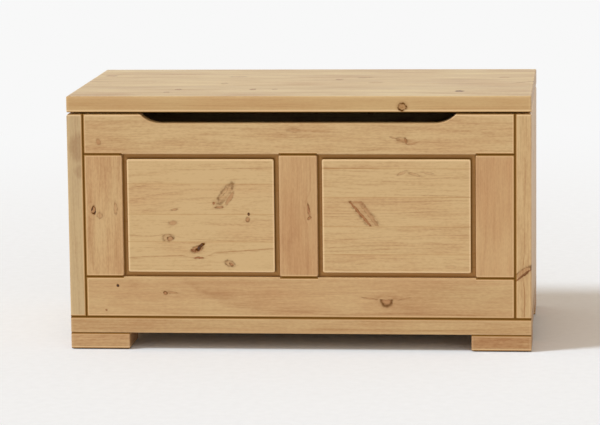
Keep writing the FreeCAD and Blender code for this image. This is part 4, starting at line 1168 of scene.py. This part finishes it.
def makeBackBoardTree():
    # tongue-and-groove boards side by side, with a V where two meet
    size = "NodeSocketFloat"
    tree, given = makeTree("tongueAndGrooveBoards", {
        "Count": ("NodeSocketInt", 8), "Pitch": (size, 0.093), "Thickness": (size, 0.0125),
        "Height": (size, 0.25), "Middle": ("NodeSocketVector", (0, 0, 0)), "Seam": (size, 0.0004),
        "Bevel": (size, 0.002), "Tongue": (size, 0.006), "Tongue Thickness": (size, 0.004),
        "Play": (size, 0.0002), "End Reach": (size, 0.008), "Material": ("NodeSocketMaterial", None),
    })
    maths, combine = "ShaderNodeMath", "ShaderNodeCombineXYZ"
    cube, move, boolean = "GeometryNodeMeshCube", "GeometryNodeTransform", "GeometryNodeMeshBoolean"
    width = addNode(tree, maths, (given["Pitch"], given["Seam"]), operation="SUBTRACT")
    half = addNode(tree, maths, (width, 0.5), operation="MULTIPLY")
    tall = addNode(tree, maths, (given["Height"], 0.01), operation="ADD")
    board = addNode(tree, cube, {"Size": addNode(tree, combine, (width, given["Thickness"], given["Height"]))})
    # the tongue starts a millimetre inside the board
    reach = addNode(tree, maths, (given["Seam"], given["Tongue"]), operation="ADD")
    long = addNode(tree, maths, (reach, 0.001), operation="ADD")
    tongue = addNode(tree, cube,
                     {"Size": addNode(tree, combine, (long, given["Tongue Thickness"], given["Height"]))})
    tongueX = addNode(tree, maths, (reach, 0.001), operation="SUBTRACT")
    tongueX = addNode(tree, maths, (tongueX, 0.5, half), operation="MULTIPLY_ADD")
    tongue = addNode(tree, move, {"Geometry": tongue, "Translation": addNode(tree, combine, (tongueX,))})
    # the groove is as deep on both sides of the board's edge
    deep = addNode(tree, maths, (given["Tongue"], given["Play"]), operation="ADD")
    deep = addNode(tree, maths, (deep, 2.0), operation="MULTIPLY")
    wide = addNode(tree, maths, (given["Play"], 2.0, given["Tongue Thickness"]), operation="MULTIPLY_ADD")
    groove = addNode(tree, cube, {"Size": addNode(tree, combine, (deep, wide, tall))})
    grooveX = addNode(tree, maths, (half, -1.0), operation="MULTIPLY")
    groove = addNode(tree, move, {"Geometry": groove, "Translation": addNode(tree, combine, (grooveX,))})
    # a square bar on its corner cuts each bevel
    side = addNode(tree, maths, (given["Bevel"], math.sqrt(2)), operation="MULTIPLY")
    bar = addNode(tree, cube, {"Size": addNode(tree, combine, (side, side, tall))})
    bar = addNode(tree, move, {"Geometry": bar, "Rotation": (0, 0, math.radians(45))})
    corners = addNode(tree, "GeometryNodeMeshGrid",
                      {"Size X": width, "Size Y": given["Thickness"], "Vertices X": 2, "Vertices Y": 2})
    bars = addNode(tree, "GeometryNodeInstanceOnPoints", {"Points": corners, "Instance": bar})
    bars = addNode(tree, "GeometryNodeRealizeInstances", {"Geometry": bars})
    board = addNode(tree, boolean, {"Mesh 2": board}, operation="UNION", solver="EXACT")
    tree.links.new(tongue.outputs[0], board.inputs["Mesh 2"])
    board = addNode(tree, boolean, {"Mesh 1": board, "Mesh 2": groove}, operation="DIFFERENCE", solver="EXACT")
    tree.links.new(bars.outputs[0], board.inputs["Mesh 2"])
    # the row, centred on Middle
    last = addNode(tree, maths, (given["Count"], 1.0), operation="SUBTRACT")
    span = addNode(tree, maths, (last, given["Pitch"]), operation="MULTIPLY")
    startX = addNode(tree, maths, (span, -0.5), operation="MULTIPLY")
    start = addNode(tree, "ShaderNodeVectorMath", (addNode(tree, combine, (startX,)), given["Middle"]),
                    operation="ADD")
    line = addNode(tree, "GeometryNodeMeshLine",
                   {"Count": given["Count"], "Start Location": start,
                    "Offset": addNode(tree, combine, (given["Pitch"],))})
    row = addNode(tree, "GeometryNodeInstanceOnPoints", {"Points": line, "Instance": board})
    row = addNode(tree, "GeometryNodeRealizeInstances", {"Geometry": row})
    # the outer boards run on, full thickness, into the side panels
    edgeX = addNode(tree, maths, (given["Count"], given["Pitch"]), operation="MULTIPLY")
    edgeX = addNode(tree, maths, (edgeX, 0.5), operation="MULTIPLY")
    endWidth = addNode(tree, maths, (deep, given["End Reach"]), operation="ADD")
    end = addNode(tree, cube,
                  {"Size": addNode(tree, combine, (endWidth, given["Thickness"], given["Height"]))})
    away = addNode(tree, maths, (given["End Reach"], deep), operation="SUBTRACT")
    away = addNode(tree, maths, (away, 0.5, edgeX), operation="MULTIPLY_ADD")
    whole = addNode(tree, boolean, {"Mesh 2": row}, operation="UNION", solver="EXACT")
    for sign in (-1.0, 1.0):
        placeX = addNode(tree, maths, (away, sign), operation="MULTIPLY")
        place = addNode(tree, "ShaderNodeVectorMath", (addNode(tree, combine, (placeX,)), given["Middle"]),
                        operation="ADD")
        moved = addNode(tree, move, {"Geometry": end, "Translation": place})
        tree.links.new(moved.outputs[0], whole.inputs["Mesh 2"])
    return finishTree(tree, whole, given["Material"])


backBoards = {"count": 8, "seam": 0.4, "bevel": 2.0, "tongue": 6.0, "tongueThickness": 4.0, "play": 0.2,
              "endReach": 8.0}
backBoardLook = {
    "grain": "z", "seed": 103.0, "heart": 0.25, "pith": (0.01, 0, 50),
    "cuts": [93.0 * i for i in range(-3, 4)],
    "knots": [
        (300, -330, 8, 6, 0, 0.7, 0.7, 1.6), (190, -240, 6, 5, 0, 0.6, 0.7, 1.4), (140, -130, 9, 6, 0, 0.6, 0.6, 1.8),
        (270, -55, 5, 4, 0, 0.8, 0.8, 1.0), (210, 40, 9, 7, 0, 0.6, 0.6, 1.8), (320, 130, 6, 5, 0, 0.6, 0.7, 1.2),
        (160, 225, 8, 6, 0, 0.7, 0.6, 1.6), (245, 330, 4, 4, 0, 0.8, 0.8, 0.8),
    ],
}
backMiddle = (0, (backBoardLow[1] + backBoardHigh[1]) / 2, (backBoardLow[2] + backBoardHigh[2]) / 2)
boards = grow("backBoards", makeBackBoardTree(), {
    "Count": backBoards["count"], "Pitch": 2 * innerX / backBoards["count"] * mm,
    "Thickness": (backBoardHigh[1] - backBoardLow[1]) * mm, "Height": (backBoardHigh[2] - backBoardLow[2]) * mm,
    "Middle": Vector(backMiddle) * mm, "Seam": backBoards["seam"] * mm, "Bevel": backBoards["bevel"] * mm,
    "Tongue": backBoards["tongue"] * mm, "Tongue Thickness": backBoards["tongueThickness"] * mm,
    "Play": backBoards["play"] * mm, "End Reach": backBoards["endReach"] * mm,
    "Material": pineMaterial("waxed pine backBoards", backBoardLook),
})
settle(boards, "carcass", ["back_board_" + str(i + 1) for i in range(8)])

battens = {
    "lidBattenLeft": {"node": "lid_batten_left", "seed": 113.0, "pith": (0.006, -325, 40)},
    "lidBattenRight": {"node": "lid_batten_right", "seed": 119.0, "pith": (-0.006, 325, 44)},
}


def makeBatten(name, batten):
    # its lower edges are rounded more than the rest
    low, high = nodeBox(batten["node"])
    shape = roundedBlock(low, high, 3, (("z", low[2]),), 5)
    batten.update(grain="yFlat", heart=0.45, knots=[(60 if low[0] > 0 else -80, low[0] + 20, 5, 4, 0, 0.7, 0.7, 1)])
    piece = newPiece(name, shape, pineMaterial("waxed pine " + name, batten))
    carve(piece, "DIFFERENCE", lambda tool: addHoles(tool, ("battenScrews",), low, high))
    settle(piece, "lid", [batten["node"]])


for name, batten in battens.items():
    makeBatten(name, batten)
print("back frame, back boards and battens made")

zinc = {"pale": "C9CBCB", "deep": "A9ACAE", "yellowPale": "CDBB8C", "yellowDeep": "C0AA7A", "yellowRose": "C6AE94"}


def metalMaterial(name, colours, grain):
    # zinc plated steel, barrel plated: soft grey gloss with fine tumbling marks and faint clouds; the yellow
    # passivated kind has a thin film whose tint drifts
    material, tree = newMaterial(name)
    place = addNode(tree, "ShaderNodeTexCoord").outputs["Object"]
    clouds = addNode(tree, "ShaderNodeTexNoise", {"Vector": place, "Scale": 160.0, "Detail": 3.0})
    tint = addStops(addNode(tree, "ShaderNodeValToRGB", (clouds,)),
                    [(0.30 + 0.4 * i / (len(colours) - 1), hexToLinear(code)) for i, code in enumerate(colours)])
    marksAt = addNode(tree, "ShaderNodeVectorMath", (place, grain), operation="MULTIPLY")
    marks = addNode(tree, "ShaderNodeTexNoise", {"Vector": marksAt, "Scale": 1.0, "Detail": 4.0})
    rough = addNode(tree, "ShaderNodeMapRange", (marks, 0.3, 0.7, 0.26, 0.44))
    bump = addNode(tree, "ShaderNodeBump", {"Height": marks, "Strength": 0.15, "Distance": 0.0001})
    surface = addNode(tree, "ShaderNodeBsdfPrincipled",
                      {"Base Color": tint, "Metallic": 1.0, "Roughness": rough, "Normal": bump})
    addNode(tree, "ShaderNodeOutputMaterial", (surface,))
    return material


greyZinc = metalMaterial("zinc plated steel, pressed and barrel plated", (zinc["deep"], zinc["pale"]),
                         (1500, 400, 400))
yellowZinc = metalMaterial("yellow passivated zinc plated steel, pressed",
                           (zinc["yellowDeep"], zinc["yellowPale"], zinc["yellowRose"]), (400, 1500, 400))


def makeScrewTree():
    # a countersunk wood screw with a cross recess and a thread that runs out towards its point
    size = "NodeSocketFloat"
    tree, given = makeTree("countersunkScrews", {
        "Head Radius": (size, 0.0031), "Head Depth": (size, 0.002), "Shank Radius": (size, 0.0016),
        "Tip Radius": (size, 0.0009), "Length": (size, 0.016), "Thread Pitch": (size, 0.0018),
        "Thread Height": (size, 0.0003), "Recess Width": (size, 0.0032), "Recess Depth": (size, 0.0013),
        "Seed": ("NodeSocketInt", 7), "Material": ("NodeSocketMaterial", None),
    })
    maths, combine, cone = "ShaderNodeMath", "ShaderNodeCombineXYZ", "GeometryNodeMeshCone"
    move, boolean = "GeometryNodeTransform", "GeometryNodeMeshBoolean"
    head = addNode(tree, cone, {"Vertices": 32, "Radius Top": given["Shank Radius"],
                                "Radius Bottom": given["Head Radius"], "Depth": given["Head Depth"]})
    # the recess: two tapered slots
    wide = addNode(tree, maths, (given["Recess Width"], 0.71), operation="MULTIPLY")
    narrow = addNode(tree, maths, (given["Recess Width"], 0.42), operation="MULTIPLY")
    slot = addNode(tree, cone, {"Vertices": 4, "Radius Top": narrow, "Radius Bottom": wide,
                                "Depth": given["Recess Depth"]})
    slot = addNode(tree, move, {"Geometry": slot, "Rotation": (0, 0, math.radians(45))})
    slot = addNode(tree, move, {"Geometry": slot, "Scale": (1, 0.26, 1), "Translation": (0, 0, -0.00001)})
    crossed = addNode(tree, move, {"Geometry": slot, "Rotation": (0, 0, math.radians(90))})
    head = addNode(tree, boolean, {"Mesh 1": head, "Mesh 2": slot}, operation="DIFFERENCE", solver="EXACT")
    tree.links.new(crossed.outputs[0], head.inputs["Mesh 2"])
    head.inputs["Self Intersection"].default_value = True
    # the shank tapers into a point
    point = addNode(tree, maths, (given["Tip Radius"], 2.2), operation="MULTIPLY")
    body = addNode(tree, maths, (given["Length"], given["Head Depth"]), operation="SUBTRACT")
    body = addNode(tree, maths, (body, point), operation="SUBTRACT")
    shank = addNode(tree, cone, {"Vertices": 24, "Radius Top": given["Tip Radius"],
                                 "Radius Bottom": given["Shank Radius"], "Depth": body})
    shank = addNode(tree, move, {"Geometry": shank,
                                 "Translation": addNode(tree, combine, {2: given["Head Depth"]})})
    pointZ = addNode(tree, maths, (given["Length"], point), operation="SUBTRACT")
    tip = addNode(tree, cone, {"Vertices": 24, "Radius Top": 0.00005, "Radius Bottom": given["Tip Radius"],
                               "Depth": point})
    tip = addNode(tree, move, {"Geometry": tip, "Translation": addNode(tree, combine, {2: pointZ})})
    # the thread leaves the upper third of the shank plain
    plain = addNode(tree, maths, (body, 0.30, given["Head Depth"]), operation="MULTIPLY_ADD")
    threaded = addNode(tree, maths, (body, 0.72), operation="MULTIPLY")
    turns = addNode(tree, maths, (threaded, given["Thread Pitch"]), operation="DIVIDE")
    helix = addNode(tree, "GeometryNodeCurveSpiral",
                    {"Resolution": 12, "Rotations": turns, "Start Radius": given["Shank Radius"],
                     "End Radius": given["Tip Radius"], "Height": threaded})
    ridge = addNode(tree, "GeometryNodeCurvePrimitiveCircle", {"Resolution": 3, "Radius": given["Thread Height"]},
                    mode="RADIUS")
    thread = addNode(tree, "GeometryNodeCurveToMesh",
                     {"Curve": helix, "Profile Curve": ridge, "Fill Caps": True})
    thread = addNode(tree, move, {"Geometry": thread, "Translation": addNode(tree, combine, {2: plain})})
    screw = addNode(tree, "GeometryNodeJoinGeometry", {0: thread})
    for part in (tip, shank, head):
        tree.links.new(part.outputs[0], screw.inputs[0])
    # one screw at each point, along its axis, its recess turned as the driver left it
    points, aim = aimAtAxis(tree, given)
    chance = addNode(tree, "FunctionNodeRandomValue", {"Seed": given["Seed"]}, data_type="FLOAT")
    chance.inputs[2].default_value, chance.inputs[3].default_value = 0.0, 1.57      # a quarter turn at most
    spin = addNode(tree, "FunctionNodeAxisAngleToRotation", {"Axis": (0, 0, 1), "Angle": chance.outputs[1]})
    aim = addNode(tree, "FunctionNodeRotateRotation", (aim, spin), rotation_space="LOCAL")
    driven = addNode(tree, "GeometryNodeInstanceOnPoints",
                     {"Points": points, "Instance": screw, "Rotation": aim})
    return finishTree(tree, driven, given["Material"])


def makeDowelTree():
    # a fluted beech dowel with tapered ends
    size = "NodeSocketFloat"
    tree, given = makeTree("flutedDowels", {
        "Radius": (size, 0.004), "Flute Depth": (size, 0.0003), "Chamfer": (size, 0.0012),
        "Length": (size, 0.04), "Material": ("NodeSocketMaterial", None),
    })
    maths, combine = "ShaderNodeMath", "ShaderNodeCombineXYZ"
    stick = addNode(tree, "GeometryNodeMeshCylinder", {"Vertices": 32, "Side Segments": 4,
                                                       "Radius": given["Radius"], "Depth": given["Length"]})
    parts = addNode(tree, "ShaderNodeSeparateXYZ", (addNode(tree, "GeometryNodeInputPosition"),)).outputs
    share = addNode(tree, maths, (parts["Z"], given["Length"]), operation="DIVIDE")
    way = addNode(tree, maths, (share,), operation="SIGN")
    share = addNode(tree, maths, (share,), operation="ABSOLUTE")
    atEnd = addNode(tree, maths, (share, 0.4), operation="GREATER_THAN")
    nearEnd = addNode(tree, maths, (share, 0.2), operation="GREATER_THAN")
    half = addNode(tree, maths, (given["Length"], 0.5), operation="MULTIPLY")
    inner = addNode(tree, maths, (half, given["Chamfer"]), operation="SUBTRACT")
    height = addNode(tree, "ShaderNodeMix", {0: atEnd, 2: inner, 3: half}, data_type="FLOAT").outputs[0]
    height = addNode(tree, maths, (height, way), operation="MULTIPLY")
    height = addNode(tree, maths, (height, nearEnd), operation="MULTIPLY")
    # every second line of vertices sinks into a flute, and the ends draw in
    index = addNode(tree, "GeometryNodeInputIndex")
    odd = addNode(tree, maths, (index, 2.0), operation="MODULO")
    sink = addNode(tree, maths, (odd, given["Flute Depth"]), operation="MULTIPLY")
    sink = addNode(tree, maths, (atEnd, 0.0007, sink), operation="MULTIPLY_ADD")
    sink = addNode(tree, maths, (sink, given["Radius"]), operation="DIVIDE")
    scale = addNode(tree, maths, (1.0, sink), operation="SUBTRACT")
    across = addNode(tree, maths, (parts["X"], scale), operation="MULTIPLY")
    deep = addNode(tree, maths, (parts["Y"], scale), operation="MULTIPLY")
    stick = addNode(tree, "GeometryNodeSetPosition",
                    {"Geometry": stick, "Position": addNode(tree, combine, (across, deep, height))})
    stick = addNode(tree, "GeometryNodeTransform",
                    {"Geometry": stick, "Translation": addNode(tree, combine, {2: half})})
    points, aim = aimAtAxis(tree, given)
    driven = addNode(tree, "GeometryNodeInstanceOnPoints", {"Points": points, "Instance": stick, "Rotation": aim})
    return finishTree(tree, driven, given["Material"])


def beechMaterial(name, along):
    # turned beech: even pinkish tan with short dark flecks along the grain
    material, tree = newMaterial(name)
    place = addNode(tree, "ShaderNodeTexCoord").outputs["Object"]
    long = tuple(60 if axis == along else 900 for axis in "xyz")
    flecksAt = addNode(tree, "ShaderNodeVectorMath", (place, long), operation="MULTIPLY")
    flecks = addNode(tree, "ShaderNodeTexNoise", {"Vector": flecksAt, "Scale": 1.0, "Detail": 3.0})
    tint = addStops(addNode(tree, "ShaderNodeValToRGB", (flecks,)),
                    ((0.36, hexToLinear("B58A62")), (0.52, hexToLinear("D3AC82"))))
    rough = addNode(tree, "ShaderNodeMapRange", (flecks, 0.3, 0.7, 0.55, 0.68))
    bump = addNode(tree, "ShaderNodeBump", {"Height": flecks, "Strength": 0.3, "Distance": 0.0002})
    surface = addNode(tree, "ShaderNodeBsdfPrincipled", {"Base Color": tint, "Roughness": rough, "Normal": bump})
    addNode(tree, "ShaderNodeOutputMaterial", (surface,))
    return material


screwTree, dowelTree = makeScrewTree(), makeDowelTree()
beech = {"X": beechMaterial("turned beech, laid across", "x"), "Z": beechMaterial("turned beech, upright", "z")}
for name, kind in fasteners.items():
    body = "lid" if "batten" in name or "Lid" in name or "Bracket" in name else "carcass"
    length = kind["places"][0][2]
    if "radius" in kind:
        along = "Z" if kind["drive"] == "up" else "X"
        piece = grow(name, dowelTree, {"Radius": kind["radius"] * mm, "Length": length * mm,
                                       "Material": beech[along]}, kind["places"])
        settle(piece, body, [kind["node"]])
        continue
    piece = grow(name, screwTree, {
        "Head Radius": kind["head"] * mm, "Head Depth": kind["sink"] * mm, "Shank Radius": kind["shank"] * mm,
        "Tip Radius": kind["tip"] * mm, "Length": length * mm, "Thread Pitch": kind["shank"] * 1.1 * mm,
        "Thread Height": kind["shank"] * 0.2 * mm, "Recess Width": kind["head"] * 1.05 * mm,
        "Recess Depth": kind["sink"] * 0.62 * mm, "Seed": len(name), "Material": greyZinc,
    }, kind["places"])
    settle(piece, body, [kind["node"]])
print("screws and dowels made")


def dressNode(name, node, body, material, ease, flatAngle=1.0):
    # a pressed or turned steel part keeps its CAD node's exact shape, with its sharp edges eased
    shape = bmesh.new()
    shape.from_mesh(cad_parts[node].data)
    bmesh.ops.remove_doubles(shape, verts=shape.verts, dist=1e-6)
    bmesh.ops.dissolve_limit(shape, angle_limit=math.radians(flatAngle), verts=shape.verts, edges=shape.edges)
    sharp = [edge for edge in shape.edges if len(edge.link_faces) == 2
             and edge.calc_face_angle() > math.radians(40)]
    bevelEdges(shape, sharp, ease, 2, True)
    for face in shape.faces:
        face.smooth = True
    piece = newPiece(name, shape, material, 28)
    return settle(piece, body, [node])


for side in ("Left", "Right"):
    under = "_" + side.lower()
    arm = "stay_arm" + under
    for name, node, body, slotName, material, ease in (
        ("hingeLeafBack", "hinge_leaf_back", "carcass", "hinge_steel", yellowZinc, 0.2),
        ("hingeLeafLid", "hinge_leaf_lid", "lid", "hinge_steel", yellowZinc, 0.2),
        ("hingePin", "hinge_pin", "carcass", "hinge_steel", yellowZinc, 0.35),
        ("stayPlate", "stay_plate", "carcass", "stay_steel", greyZinc, 0.25),
        ("brakePin", "brake_pin", "carcass", "stay_steel", greyZinc, 0.3),
        ("stayBracket", "stay_bracket", "lid", "stay_steel", greyZinc, 0.25),
        ("stayRivet", "stay_rivet", "lid", "stay_steel", greyZinc, 0.3),
        ("stayBar", "stay_bar", arm, "stay_steel", greyZinc, 0.25),
    ):
        dressNode(name + side, node + under, body, material, ease)
print("hinges and lid stays made")

felt = {"pale": "8B857B", "deep": "5E5951"}


def feltMaterial():
    # needled wool felt: matt grey-brown, its fibres lie in all directions and stand up a little
    material, tree = newMaterial("needled wool felt")
    place = addNode(tree, "ShaderNodeTexCoord").outputs["Object"]
    warp = addNode(tree, "ShaderNodeTexNoise", {"Vector": place, "Scale": 350.0, "Detail": 2.0}).outputs["Color"]
    loose = addNode(tree, "ShaderNodeVectorMath", (warp, (0.004, 0.004, 0.004), place), operation="MULTIPLY_ADD")
    fibres = addNode(tree, "ShaderNodeTexNoise", {"Vector": loose, "Scale": 1400.0, "Detail": 4.0})
    tint = addStops(addNode(tree, "ShaderNodeValToRGB", (fibres,)),
                    ((0.35, hexToLinear(felt["deep"])), (0.62, hexToLinear(felt["pale"]))))
    bump = addNode(tree, "ShaderNodeBump", {"Height": fibres, "Strength": 0.8, "Distance": 0.0004})
    surface = addNode(tree, "ShaderNodeBsdfPrincipled",
                      {"Base Color": tint, "Roughness": 0.95, "Sheen Weight": 0.25, "Sheen Roughness": 0.5,
                       "Normal": bump})
    addNode(tree, "ShaderNodeOutputMaterial", (surface,))
    return material


def makeFeltPads(name, node, edgeRound):
    # cut felt squares whose edges have puffed and rounded a little
    shape = bmesh.new()
    for low, high in solidBoxes(node):
        pad = roundedBlock(low, high, edgeRound, segments=3)
        mesh = bpy.data.meshes.new("pad")
        pad.to_mesh(mesh)
        pad.free()
        shape.from_mesh(mesh)
        bpy.data.meshes.remove(mesh)
    for face in shape.faces:
        face.smooth = True
    piece = newPiece(name, shape, woolFelt)
    return settle(piece, "carcass", [node])


woolFelt = feltMaterial()
makeFeltPads("feltGlides", "felt_glides", 0.45)
makeFeltPads("lidBumpers", "lid_bumpers", 0.5)
print("felt made")

bpy.context.scene.view_settings.view_transform = "Standard"
